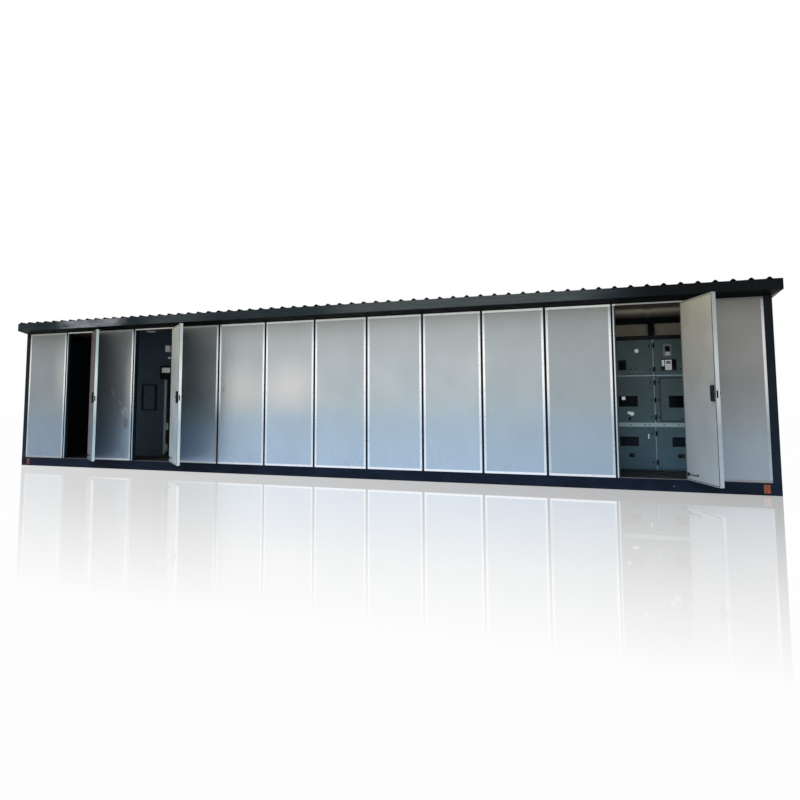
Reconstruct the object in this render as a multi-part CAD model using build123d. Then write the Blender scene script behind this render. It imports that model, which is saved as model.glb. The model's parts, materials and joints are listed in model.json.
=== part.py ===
from build123d import *
import os
from math import radians, tan

# Compact substation: a long steel frame house for switchgear, millimetres, +Z up.
# The origin is the centre of the base on the ground. The front faces -Y.

# Plan of the front, from the left: post, panel, narrow doorway, panel, doorway, eight panels,
# doorway, panel, post
BAY = 1110.0
NARROW_BAY = 825.0
END_BAY_EXTRA = 20.0
POST = 120.0
DEPTH = 3000.0
BAYS = "P d P D P P P P P P P P D P".split()

# Heights above the ground
BASE_HEIGHT = 190.0
TOP_BEAM = 112.0

# Panels, doors and their edge trims
PANEL_THICKNESS = 60.0
JOINT_GAP = 42.0
POST_GAP = 3.0
TRIM_WIDTH = 38.0
TRIM_THICKNESS = 2.0
DOOR_THICKNESS = 54.0
DOORWAY_EDGE = 12.0
DOOR_SIDE_GAP = 5.0
DOOR_TOP_GAP = 8.0
DOOR_SILL_GAP = 12.0
LINING_WIDTH = 36.0
LINING_HEIGHT = 24.0
REAR_PANELS = 14
END_PANELS = 3

# How far each door stands open, in degrees from closed
DOOR_OPEN = {1: 142.0, 2: 137.5, 3: 111.5}

# Hinges: the axis stands in front of the closed leaf and beside its edge
HINGE_OUT = 10.0
HINGE_SIDE = 4.0
KNUCKLE_RADIUS = 8.0
KNUCKLE_HEIGHT = 50.0
PIN_RADIUS = 4.0
PIN_CLEARANCE = 0.2
KNUCKLE_GAP = 1.0
HINGE_PLATE = 3.0
HINGE_PLATE_LENGTH = 34.0
HINGE_PLATE_LAP = 8.0
HINGE_FROM_END = 300.0
HINGES = 3

# Lock: a case on the inner face and a lever on a spindle
LOCK_HEIGHT = 1545.0
LOCK_CASE = (60.0, 38.0, 235.0)
LOCK_ROSE = (44.0, 6.0, 180.0)
LOCK_FROM_EDGE = 34.0
SPINDLE_RADIUS = 8.0
SPINDLE_CLEARANCE = 2.0
LEVER_STAND_OFF = 44.0
LEVER_LENGTH = 118.0
LEVER_SIZE = 20.0
LEVER_GAP = 1.0
TURN_KNOB = (14.0, 14.0)

# Stay rod at the foot of each leaf
STAY_HEIGHT = 95.0
STAY_FROM_HINGE = 70.0
STAY_LENGTH = 330.0
STAY_ROD = 10.0
STAY_BLOCK = (26.0, 22.0, 50.0)

# Steelwork
BEAM_FLANGE = 70.0
BEAM_WEB = 8.0
CROSSMEMBER_WIDTH = 60.0
CROSSMEMBERS = 11
FLOOR_PLATE = 6.0
STUD = 50.0
STUD_COVER_RECESS = 10.0
STUD_COVER_GAP = 3.0
HINGE_COVER_GAP = 5.0
INNER_FRAME = 120.0
INNER_POST_OFFSET = -60.0
CEILING_DROP = 40.0
CEILING_BOARD = 20.0
# Strip under the ceiling, from front to rear: offset from the cubicle seam, width, thickness
CEILING_STRIP = (-110.0, 95.0, 12.0)
CEILING_STRIP_SETBACK = 300.0
# Ribbed lining of the rear wall over the cubicles
LINING_REACH = 900.0
LINING_SHEET = 2.0
LINING_RIB_PITCH = 90.0
LINING_RIB_WIDTH = 28.0

# Roof
ROOF_FALL = 1.5
RAFTERS = 8
RAFTER_WIDTH = 50.0
RAFTER_REAR_HEIGHT = 10.0
PURLIN = 36.0
PURLINS = 4
SHEET = 3.0
RIB_PITCH = 250.0
RIB_HEIGHT = 32.0
RIB_TOP = 26.0
RIB_FOOT = 94.0
RIB_FROM_RIGHT = 180.0
EAVES_FRONT = 180.0
EAVES_REAR = 110.0
EAVES_LEFT = 100.0
EAVES_RIGHT = 135.0
FASCIA_SHEET = 4.0
FASCIA_HEIGHT = 165.0
SOFFIT_DROP = 65.0
SOFFIT_SHEET = 6.0
VERGE_CLEARANCE = 0.3

# Switchgear seen through the right doorway: three doors above each other on each cubicle
CUBICLE_WIDTH = 800.0
CUBICLE_BACK_GAP = 10.0
AISLE = 1500.0
CUBICLE_SEAM = 635.0
CUBICLE_DOOR = 18.0
CUBICLE_FOOT = 30.0
LOWER_DOOR = 737.0
LOWER_DOOR_GAP = 91.0
MIDDLE_DOOR = 834.0
UPPER_DOOR_GAP = 34.0
CUBICLE_CAP = 18.0
CUBICLE_DOOR_MARGIN = 16.0
# From the duct on the cubicles to the ceiling, which sets the height of the building
CUBICLE_HEADROOM = 482.0
BAND_THICKNESS = 8.0
BAND_GAP = 8.0
SEAM_STRIP = 10.0
TOP_DUCT = (90.0, 78.0)
WINDOW_THICKNESS = 6.0

# Windows of the lower doors: offset from the seam, width, bottom and top below the head of the door
LOWER_WINDOWS = ((-620.0, 322.0, 343.0, 172.0), (270.0, 370.0, 343.0, 172.0))
# Windows of the middle doors: offset, width, bottom and top above the foot of the door
MIDDLE_WINDOWS = ((-620.0, 330.0, 284.0, 481.0), (238.0, 400.0, 264.0, 481.0))
# Instruments on the upper doors: offset, width, height, depth
METER = (-318.0, 74.0, 90.0, 40.0)
SIDE_BOX = (-600.0, 133.0, 181.0, 30.0)
DISPLAY = (182.0, 130.0, 208.0, 25.0)
RELAY = (128.0, 260.0, 210.0, 45.0)
# The display stands over the relay, and both fill the upper door with these margins
RELAY_FOOT = 65.0
DISPLAY_GAP = 60.0
DISPLAY_HEAD = 83.0
SIDE_BOX_OVER_RELAY = 24.0
METER_OVER_DISPLAY = 61.0
# Latch handles on the lower doors: offset, width, bottom, top above the foot of the door, depth
CUBICLE_LATCHES = (
    (-468.0, 96.0, 192.0, 262.0, 24.0),
    (355.0, 108.0, 196.0, 265.0, 24.0),
)
# Seal of the inner door in the middle door on the right: its margins in the door, from the left,
# from the right side of the cubicle, from below and from above
INNER_DOOR_MARGINS = (90.0, 70.0, 16.0, 26.0)
INNER_DOOR_SEAL = 14.0
INNER_DOOR_SEAL_DEPTH = 10.0
# Hinge blocks on the seam: from the foot and from the head of each door
LOWER_FITTINGS = (109.0, 108.0)
MIDDLE_FITTINGS = (92.0, 116.0)
UPPER_FITTINGS = (94.0, 97.0)
# One more on the middle doors, above their foot
MIDDLE_EXTRA_FITTING = 404.0
INNER_DOOR_PIN_OFFSET = 70.0
KNOB_OFFSET = -60.0
KNOB_DEPTH = 22.0
KNOB_RADIUS = 14.0
HINGE_BLOCK = (34.0, 20.0, 84.0)
HINGE_BLOCK_OFFSET = -4.0

# Screen with its fittings, seen through the middle doorway: it reaches to the left of the
# doorway's left side and beyond it
SCREEN_THICKNESS = 60.0
SCREEN_SETBACK = 1150.0
SCREEN_REACH = 1230.0
SCREEN_BEYOND = 270.0
# Framed window: offset from the doorway, width, bottom and top above the floor
SCREEN_WINDOW = (-747.0, 420.0, 1060.0, 1684.0)
SCREEN_WINDOW_BAR = 30.0
# Equipment: offset from the doorway, width, bottom, top, depth
SCREEN_EQUIPMENT = (
    (-42.0, 133.0, 2432.0, 2586.0, 90.0),
    (8.0, 86.0, 2267.0, 2319.0, 60.0),
    (-160.0, 305.0, 1799.0, 2102.0, 100.0),
    (-70.0, 60.0, 60.0, 1780.0, 40.0),
    (-5.0, 125.0, 20.0, 1780.0, 24.0),
)
# Lamp: offset from the doorway, distance in front of the screen
CEILING_LAMP = (-360.0, 200.0)
CEILING_LAMP_SIZE = (125.0, 40.0)

# Plates on the base beam
MARKER = (88.0, 3.0, 130.0)
MARKER_FROM_END = 160.0

# How far a cutting shape or a joined piece runs past the face it meets
OVERRUN = 1.0

BAY_SUM = BAYS.count("d") * NARROW_BAY + (len(BAYS) - BAYS.count("d")) * BAY
LENGTH = 2 * (POST + END_BAY_EXTRA) + BAY_SUM
LEFT = -LENGTH / 2
RIGHT = LENGTH / 2
FRONT = -DEPTH / 2
REAR = DEPTH / 2
PANEL_BOTTOM = BASE_HEIGHT
FLOOR = BASE_HEIGHT
LOWER_FOOT = FLOOR + CUBICLE_FOOT
LOWER_HEAD = LOWER_FOOT + LOWER_DOOR
MIDDLE_FOOT = LOWER_HEAD + LOWER_DOOR_GAP
MIDDLE_HEAD = MIDDLE_FOOT + MIDDLE_DOOR
UPPER_FOOT = MIDDLE_HEAD + UPPER_DOOR_GAP
RELAY_BOTTOM = UPPER_FOOT + RELAY_FOOT
DISPLAY_BOTTOM = RELAY_BOTTOM + RELAY[2] + DISPLAY_GAP
UPPER_HEAD = DISPLAY_BOTTOM + DISPLAY[2] + DISPLAY_HEAD
CUBICLE_TOP = UPPER_HEAD + CUBICLE_CAP
CEILING = CUBICLE_TOP + TOP_DUCT[1] + CUBICLE_HEADROOM
BEAM_TOP = CEILING + CEILING_DROP
PANEL_TOP = BEAM_TOP - TOP_BEAM
STUD_FRONT = PANEL_THICKNESS
BAY_WIDTH = {"P": BAY, "D": BAY, "d": NARROW_BAY}


def block(x0, x1, y0, y1, z0, z1):
    """Box between two corners."""
    low = (Align.MIN, Align.MIN, Align.MIN)
    return Pos(x0, y0, z0) * Box(x1 - x0, y1 - y0, z1 - z0, align=low)


def rod(x, y, z, radius, height):
    """Upright cylinder with the centre of its foot at a point."""
    return Pos(x, y, z) * Cylinder(radius, height, align=(Align.CENTER, Align.CENTER, Align.MIN))


def rod_y(x, y0, y1, z, radius):
    """Cylinder along Y."""
    turned = Rot(-90, 0, 0) * Cylinder(radius, y1 - y0, align=(Align.CENTER, Align.CENTER, Align.MIN))
    return Pos(x, y0, z) * turned


def prism_x(points, x0, x1):
    """Outline in Y and Z carried along X."""
    face = make_face(Polyline(*[(0, y, z) for y, z in points], close=True))
    return Pos(x0, 0, 0) * extrude(face, amount=x1 - x0, dir=(1, 0, 0))


def save(name, *solids):
    """One node with one or more separate solids."""
    shape = solids[0] if len(solids) == 1 else Compound(children=list(solids))
    export_step(shape, f"parts/{name}.step")


def bay_spans():
    """Left and right limit of each bay of the front; the end bays are a little wider."""
    edges = [LEFT + POST + END_BAY_EXTRA]
    for kind in BAYS:
        edges.append(edges[-1] + BAY_WIDTH[kind])
    edges[0] = LEFT + POST
    edges[-1] = RIGHT - POST
    return list(zip(BAYS, edges, edges[1:]))


def even_spans(start, stop, count):
    """Equal bays between two limits."""
    step = (stop - start) / count
    edges = [start + i * step for i in range(count)] + [stop]
    return list(zip(edges, edges[1:]))


def panel_solid(x0, x1, bottom, top, thickness):
    """Infill of a panel, inside its edge trim, its face at y = 0."""
    edge = TRIM_THICKNESS
    return block(x0 + edge, x1 - edge, 0, thickness, bottom + edge, top - edge)


def trim_solid(x0, x1, bottom, top, thickness):
    """Edge trim of a panel: a flange over its face and a web round its edge."""
    edge = TRIM_THICKNESS
    width = TRIM_WIDTH
    outer = block(x0, x1, -edge, thickness, bottom, top)
    core = block(x0 + edge, x1 - edge, 0, thickness + edge, bottom + edge, top - edge)
    window = block(x0 + width, x1 - width, -2 * edge, thickness, bottom + width, top - width)
    return outer - core - window


def on_front(shape):
    return Pos(0, FRONT, 0) * shape


def on_rear(shape):
    return Pos(0, REAR, 0) * Rot(0, 0, 180) * shape


def on_left(shape):
    return Pos(LEFT, 0, 0) * Rot(0, 0, -90) * shape


def on_right(shape):
    return Pos(RIGHT, 0, 0) * Rot(0, 0, 90) * shape


def panel_limits(span, wall_ends):
    """Limits of a panel in its bay: half a joint off, or a small gap beside a post."""
    low, high = span
    low += POST_GAP if low == wall_ends[0] else JOINT_GAP / 2
    high -= POST_GAP if high == wall_ends[1] else JOINT_GAP / 2
    return low, high, PANEL_BOTTOM, PANEL_TOP, PANEL_THICKNESS


def wall(spans, wall_ends, place):
    """Panels and trims of one side, given in the side's own frame."""
    limits = [panel_limits(span, wall_ends) for span in spans]
    panels = [place(panel_solid(*each)) for each in limits]
    trims = [place(trim_solid(*each)) for each in limits]
    return panels, trims


def stud(x, left=JOINT_GAP / 2 - STUD_COVER_GAP, right=JOINT_GAP / 2 - STUD_COVER_GAP):
    """Upright behind a joint, with a cover strip in the joint from x - left to x + right."""
    half = STUD / 2
    tube = block(x - half, x + half, STUD_FRONT, STUD_FRONT + STUD, PANEL_BOTTOM, PANEL_TOP)
    strip = block(x - left, x + right, STUD_COVER_RECESS, STUD_FRONT, PANEL_BOTTOM, PANEL_TOP)
    return tube + strip


def front_studs():
    """Studs of the front: beside a doorway the cover strip keeps clear of jamb and leaf."""
    studs = []
    bays = bay_spans()
    full = JOINT_GAP / 2 - STUD_COVER_GAP
    for (left_kind, _, x), (right_kind, _, _) in zip(bays, bays[1:]):
        left = full if left_kind == "P" else DOORWAY_EDGE - HINGE_COVER_GAP
        right = full if right_kind == "P" else DOORWAY_EDGE - STUD_COVER_GAP
        studs.append(on_front(stud(x, left, right)))
    return studs


def channel(x0, x1, height):
    """Base channel along X with its web outside, in a side's own frame."""
    outer = block(x0, x1, 0, BEAM_FLANGE, 0, height)
    ends = (x0 - OVERRUN, x1 + OVERRUN)
    inner = block(*ends, BEAM_WEB, BEAM_FLANGE + OVERRUN, BEAM_WEB, height - BEAM_WEB)
    return outer - inner


def base():
    side = channel(LEFT, RIGHT, BASE_HEIGHT)
    save("base_side_beams", on_front(side), on_rear(side))
    reach = DEPTH / 2 - BEAM_FLANGE
    end = channel(-reach, reach, BASE_HEIGHT)
    save("base_end_beams", on_left(end), on_right(end))
    pitch = (LENGTH - 2 * BEAM_FLANGE) / (CROSSMEMBERS + 1)
    half = CROSSMEMBER_WIDTH / 2
    plate_under = FLOOR - FLOOR_PLATE
    members = []
    for i in range(CROSSMEMBERS):
        x = (i - (CROSSMEMBERS - 1) / 2) * pitch
        members.append(block(x - half, x + half, -reach, reach, 0, plate_under))
    save("base_crossmembers", *members)
    inside = (LEFT + BEAM_FLANGE, RIGHT - BEAM_FLANGE, -reach, reach)
    save("floor_plate", block(*inside, plate_under, FLOOR))


def frame():
    level = (PANEL_BOTTOM, PANEL_TOP)
    posts = []
    for x in (LEFT, RIGHT - POST):
        for y in (FRONT, REAR - POST):
            posts.append(block(x, x + POST, y, y + POST, *level))
    save("corner_posts", *posts)
    level = (PANEL_TOP, BEAM_TOP)
    side = [block(LEFT, RIGHT, y, y + POST, *level) for y in (FRONT, REAR - POST)]
    save("top_side_beams", *side)
    reach = DEPTH / 2 - POST
    ends = [block(x, x + POST, -reach, reach, *level) for x in (LEFT, RIGHT - POST)]
    save("top_end_beams", *ends)
    studs = front_studs()
    studs += [on_rear(stud(b)) for _, b in rear_spans()[:-1]]
    for place in (on_left, on_right):
        studs += [place(stud(b)) for _, b in end_spans()[:-1]]
    save("wall_studs", *studs)
    inside = (LEFT + POST, RIGHT - POST, -reach, reach)
    save("ceiling_board", block(*inside, CEILING, CEILING + CEILING_BOARD))


def rear_spans():
    return even_spans(LEFT + POST, RIGHT - POST, REAR_PANELS)


def end_spans():
    return even_spans(FRONT + POST, REAR - POST, END_PANELS)


def walls():
    long_ends = (LEFT + POST, RIGHT - POST)
    short_ends = (FRONT + POST, REAR - POST)
    fixed = [(a, b) for kind, a, b in bay_spans() if kind == "P"]
    panels, trims = wall(fixed, long_ends, on_front)
    save("front_panels", *panels)
    save("front_panel_trims", *trims)
    panels, trims = wall(rear_spans(), long_ends, on_rear)
    save("rear_panels", *panels)
    save("rear_panel_trims", *trims)
    panels_left, trims_left = wall(end_spans(), short_ends, on_left)
    panels_right, trims_right = wall(end_spans(), short_ends, on_right)
    save("end_panels", *panels_left, *panels_right)
    save("end_panel_trims", *trims_left, *trims_right)


def doorways():
    """Left and right limit of each doorway bay."""
    return [(a, b) for kind, a, b in bay_spans() if kind in "dD"]


def linings():
    jambs = []
    heads = []
    for a, b in doorways():
        x0 = a + DOORWAY_EDGE
        x1 = x0 + LINING_WIDTH
        x2 = b - DOORWAY_EDGE
        under = PANEL_TOP - LINING_HEIGHT
        jambs.append(on_front(block(x0, x1, 0, PANEL_THICKNESS, PANEL_BOTTOM, PANEL_TOP)))
        heads.append(on_front(block(x1, x2, 0, PANEL_THICKNESS, under, PANEL_TOP)))
    save("doorway_jambs", *jambs)
    save("doorway_heads", *heads)


def leaf_levels():
    """Bottom and top of a door leaf."""
    return PANEL_BOTTOM + DOOR_SILL_GAP, PANEL_TOP - LINING_HEIGHT - DOOR_TOP_GAP


def hinge_heights():
    bottom, top = leaf_levels()
    step = (top - bottom - 2 * HINGE_FROM_END) / (HINGES - 1)
    return [bottom + HINGE_FROM_END + i * step for i in range(HINGES)]


def frame_hinges():
    """Lower knuckle and pin of each hinge, on a plate that reaches the stud in the joint."""
    hinges = []
    for _, b in doorways():
        axis = b - DOORWAY_EDGE + HINGE_SIDE
        for z in hinge_heights():
            top = z - KNUCKLE_GAP
            foot = top - KNUCKLE_HEIGHT
            knuckle = rod(axis, -HINGE_OUT, foot, KNUCKLE_RADIUS, KNUCKLE_HEIGHT)
            pin = rod(axis, -HINGE_OUT, top - OVERRUN, PIN_RADIUS, KNUCKLE_HEIGHT)
            plate_x = (axis - HINGE_PLATE / 2, axis + HINGE_PLATE_LAP)
            plate = block(*plate_x, -HINGE_OUT, STUD_COVER_RECESS, foot, top)
            hinges.append(on_front(knuckle + pin + plate))
    save("frame_hinges", *hinges)


def door(number, a, b):
    """One leaf, drawn shut and then turned open about its hinge axis."""
    x0 = a + DOORWAY_EDGE + LINING_WIDTH + DOOR_SIDE_GAP
    x1 = b - DOORWAY_EDGE
    z0, z1 = leaf_levels()
    axis = x1 + HINGE_SIDE
    lock = x0 + TRIM_WIDTH + LOCK_FROM_EDGE
    hinge_line = Pos(axis, FRONT - HINGE_OUT, 0)
    turn = hinge_line * Rot(0, 0, DOOR_OPEN[number]) * hinge_line.inverse()

    def place(shape):
        return turn * on_front(shape)

    spindle_hole = SPINDLE_RADIUS + SPINDLE_CLEARANCE
    back = DOOR_THICKNESS
    hole = rod_y(lock, -OVERRUN, back + OVERRUN, LOCK_HEIGHT, spindle_hole)
    leaf = panel_solid(x0, x1, z0, z1, DOOR_THICKNESS) - hole
    save(f"door_{number}_leaf", place(leaf))
    save(f"door_{number}_trim", place(trim_solid(x0, x1, z0, z1, DOOR_THICKNESS)))

    fittings = leaf_hinges(axis)
    wide, case_thick, tall = LOCK_CASE
    level = (LOCK_HEIGHT - tall / 2, LOCK_HEIGHT + tall / 2)
    case = block(lock - wide / 2, lock + wide / 2, back, back + case_thick, *level)
    case -= rod_y(lock, 0, back + case_thick + OVERRUN, LOCK_HEIGHT, spindle_hole)
    wide, rose_thick, tall = LOCK_ROSE
    level = (LOCK_HEIGHT - tall / 2, LOCK_HEIGHT + tall / 2)
    rose = block(lock - wide / 2, lock + wide / 2, -rose_thick, 0, *level)
    rose -= rod_y(lock, -rose_thick - OVERRUN, OVERRUN, LOCK_HEIGHT, spindle_hole)
    fittings += [case, rose, stay(x1 - STAY_FROM_HINGE, z0 + STAY_HEIGHT)]
    save(f"door_{number}_fittings", *[place(piece) for piece in fittings])

    inside = back + case_thick + LEVER_GAP
    outside = -rose_thick - LEVER_GAP
    spindle = rod_y(lock, -LEVER_STAND_OFF, inside + OVERRUN, LOCK_HEIGHT, SPINDLE_RADIUS)
    knob_radius, knob_depth = TURN_KNOB
    knob = rod_y(lock, inside, inside + knob_depth, LOCK_HEIGHT, knob_radius)
    collar = rod_y(lock, -LEVER_STAND_OFF, outside, LOCK_HEIGHT, knob_radius)
    half = LEVER_SIZE / 2
    grip_y = (-LEVER_STAND_OFF - half, -LEVER_STAND_OFF + half)
    grip_z = (LOCK_HEIGHT - half, LOCK_HEIGHT + half)
    grip = block(lock - half, lock + LEVER_LENGTH, *grip_y, *grip_z)
    save(f"door_{number}_lever", place(spindle + knob + grip + collar))


def leaf_hinges(axis):
    """Upper knuckle of each hinge, on a plate over the face of the leaf."""
    hinges = []
    face = -TRIM_THICKNESS
    for z in hinge_heights():
        foot = z + KNUCKLE_GAP
        top = foot + KNUCKLE_HEIGHT
        knuckle = rod(axis, -HINGE_OUT, foot, KNUCKLE_RADIUS, KNUCKLE_HEIGHT)
        plate = block(axis - HINGE_PLATE_LENGTH, axis, face - HINGE_PLATE, face, foot, top)
        bore_height = KNUCKLE_HEIGHT + 2 * OVERRUN
        bore = rod(axis, -HINGE_OUT, foot - OVERRUN, PIN_RADIUS + PIN_CLEARANCE, bore_height)
        hinges.append(knuckle + plate - bore)
    return hinges


def stay(x, z):
    """Stay rod in its block on the inner face, with a turned-up end."""
    wide, deep, tall = STAY_BLOCK
    y = DOOR_THICKNESS
    holder = block(x - wide, x, y, y + deep, z - tall / 2, z + tall / 2)
    half = STAY_ROD / 2
    middle = y + deep / 2
    end = x - STAY_LENGTH
    arm = block(end, x - wide + OVERRUN, middle - half, middle + half, z - half, z + half)
    tip = block(end, end + STAY_ROD, y, middle + half, z - half, z + tall / 2)
    return holder + arm + tip


def roof_height(y):
    """Underside of the roof sheet over a point across the building."""
    rear = BEAM_TOP + RAFTER_REAR_HEIGHT + PURLIN
    return rear + (REAR - y) * tan(radians(ROOF_FALL))


def eaves_limits(inset):
    """Left, right, front and rear limit of the roof, moved inwards by an inset."""
    left = LEFT - EAVES_LEFT + inset
    right = RIGHT + EAVES_RIGHT - inset
    front = FRONT - EAVES_FRONT + inset
    rear = REAR + EAVES_REAR - inset
    return left, right, front, rear


def roof():
    left, right, front, rear = eaves_limits(FASCIA_SHEET)
    rafters = []
    for i in range(RAFTERS):
        x = LEFT + POST / 2 + i * (LENGTH - POST) / (RAFTERS - 1)
        outline = [
            (front, BEAM_TOP),
            (rear, BEAM_TOP),
            (rear, roof_height(rear) - PURLIN),
            (front, roof_height(front) - PURLIN),
        ]
        rafters.append(prism_x(outline, x - RAFTER_WIDTH / 2, x + RAFTER_WIDTH / 2))
    save("roof_rafters", *rafters)
    purlins = []
    for i in range(PURLINS):
        y = front + i * (rear - PURLIN - front) / (PURLINS - 1)
        low0 = roof_height(y) - PURLIN
        low1 = roof_height(y + PURLIN) - PURLIN
        outline = [(y, low0), (y + PURLIN, low1), (y + PURLIN, low1 + PURLIN), (y, low0 + PURLIN)]
        purlins.append(prism_x(outline, left + VERGE_CLEARANCE, right - VERGE_CLEARANCE))
    save("roof_purlins", *purlins)
    save("roof_sheet", roof_sheet())


def rib_centres(x0, x1):
    """Centres of the roof ribs, counted from the right end of the sheet."""
    centres = []
    x = x1 - RIB_FROM_RIGHT
    while x - RIB_FOOT / 2 > x0:
        centres.insert(0, x)
        x -= RIB_PITCH
    return centres


def roof_sheet():
    """Ribbed sheet laid on the purlins, falling to the rear."""
    left, right, front, rear = eaves_limits(0)
    under = [(left, 0.0)]
    for x in rib_centres(left, right):
        under += [
            (x - RIB_FOOT / 2, 0.0),
            (x - RIB_TOP / 2, RIB_HEIGHT),
            (x + RIB_TOP / 2, RIB_HEIGHT),
            (x + RIB_FOOT / 2, 0.0),
        ]
    under.append((right, 0.0))
    over = [(x, z + SHEET) for x, z in reversed(under)]
    face = make_face(Polyline(*[(x, 0, z) for x, z in under + over], close=True))
    sheet = extrude(face, amount=rear - front, dir=(0, 1, 0))
    return Pos(0, front, roof_height(front)) * Rot(-ROOF_FALL, 0, 0) * sheet


def plan_rectangle(limits, z):
    """Flat rectangle at a height."""
    left, right, front, rear = limits
    centre = Pos((left + right) / 2, (front + rear) / 2, z)
    return centre * Rectangle(right - left, rear - front)


def eaves_ring():
    """Folded eaves sheet round the roof: upright faces, then soffits sloping back to the walls."""
    outer = eaves_limits(0)
    inner = eaves_limits(FASCIA_SHEET)
    walls_plan = (LEFT, RIGHT, FRONT, REAR)
    top = roof_height(outer[2])
    low = top - FASCIA_HEIGHT
    heel = low - SOFFIT_DROP
    funnel = loft([plan_rectangle(walls_plan, heel), plan_rectangle(outer, low)], ruled=True)
    core = Pos(0, 0, heel) * extrude(plan_rectangle(walls_plan, 0), amount=SOFFIT_DROP)
    soffit = funnel - Pos(0, 0, SOFFIT_SHEET) * funnel - core
    faces = extrude(plan_rectangle(outer, low), amount=FASCIA_HEIGHT)
    faces -= extrude(plan_rectangle(inner, low), amount=FASCIA_HEIGHT)
    above = [
        (outer[2], roof_height(outer[2])),
        (outer[3], roof_height(outer[3])),
        (outer[3], top + OVERRUN),
        (outer[2], top + OVERRUN),
    ]
    faces -= prism_x(above, outer[0], outer[1])
    return soffit + faces


def fascias():
    """The eaves ring cut at its mitred corners."""
    ring = eaves_ring()
    left, right, front, rear = eaves_limits(0)
    outer = {"lf": (left, front), "rf": (right, front), "rr": (right, rear), "lr": (left, rear)}
    heel = {"lf": (LEFT, FRONT), "rf": (RIGHT, FRONT), "rr": (RIGHT, REAR), "lr": (LEFT, REAR)}

    def side(start, stop):
        plan = [outer[start], outer[stop], heel[stop], heel[start]]
        face = make_face(Polyline(*[(x, y, PANEL_TOP) for x, y in plan], close=True))
        return ring & extrude(face, amount=roof_height(front) - PANEL_TOP + OVERRUN, dir=(0, 0, 1))

    save("front_fascia", side("lf", "rf"))
    save("rear_fascia", side("rr", "lr"))
    save("side_fascias", side("lr", "lf"), side("rf", "rr"))


def seam_x():
    """Joint between the two cubicles."""
    return doorways()[-1][0] + CUBICLE_SEAM


def raised(x, y, level, items):
    """Boxes on a face at y: offset from x, width, bottom and top above a level, depth."""
    boxes = []
    for left, width, low, high, deep in items:
        x0 = x + left
        boxes.append(block(x0, x0 + width, y - deep, y, level + low, level + high))
    return boxes


def compartment_doors(x0, y):
    """Three door plates of a cubicle, whose left side is at x0."""
    m = CUBICLE_DOOR_MARGIN
    limits = (x0 + m, x0 + CUBICLE_WIDTH - m, y - CUBICLE_DOOR, y)
    levels = [(LOWER_FOOT, LOWER_HEAD), (MIDDLE_FOOT, MIDDLE_HEAD), (UPPER_FOOT, UPPER_HEAD)]
    return [block(*limits, low, high) for low, high in levels]


def inner_door_seal(seam, face):
    """Dark seal set in the face of the middle door on the right, round its inner door."""
    left, right, below, above = INNER_DOOR_MARGINS
    x0 = seam + left
    x1 = seam + CUBICLE_WIDTH - right
    low = MIDDLE_FOOT + below
    high = MIDDLE_HEAD - above
    w = INNER_DOOR_SEAL
    back = face + INNER_DOOR_SEAL_DEPTH
    outer = block(x0, x1, face, back, low, high)
    inner = block(x0 + w, x1 - w, face - OVERRUN, back + OVERRUN, low + w, high - w)
    return outer - inner


def seam_fittings():
    """Heights of the hinge blocks on the seam of the lower, middle and upper doors."""
    lower = [LOWER_FOOT + LOWER_FITTINGS[0], LOWER_HEAD - LOWER_FITTINGS[1]]
    middle = [
        MIDDLE_FOOT + MIDDLE_FITTINGS[0],
        MIDDLE_FOOT + MIDDLE_EXTRA_FITTING,
        MIDDLE_HEAD - MIDDLE_FITTINGS[1],
    ]
    upper = [UPPER_FOOT + UPPER_FITTINGS[0], UPPER_HEAD - UPPER_FITTINGS[1]]
    return lower, middle, upper


def instruments(seam, face):
    """Meter, side box, display and relay on the upper doors."""
    placed = [
        (METER, DISPLAY_BOTTOM + METER_OVER_DISPLAY),
        (SIDE_BOX, RELAY_BOTTOM + SIDE_BOX_OVER_RELAY),
        (DISPLAY, DISPLAY_BOTTOM),
        (RELAY, RELAY_BOTTOM),
    ]
    boxes = []
    for (left, width, height, deep), bottom in placed:
        x0 = seam + left
        boxes.append(block(x0, x0 + width, face - deep, face, bottom, bottom + height))
    return boxes


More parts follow.
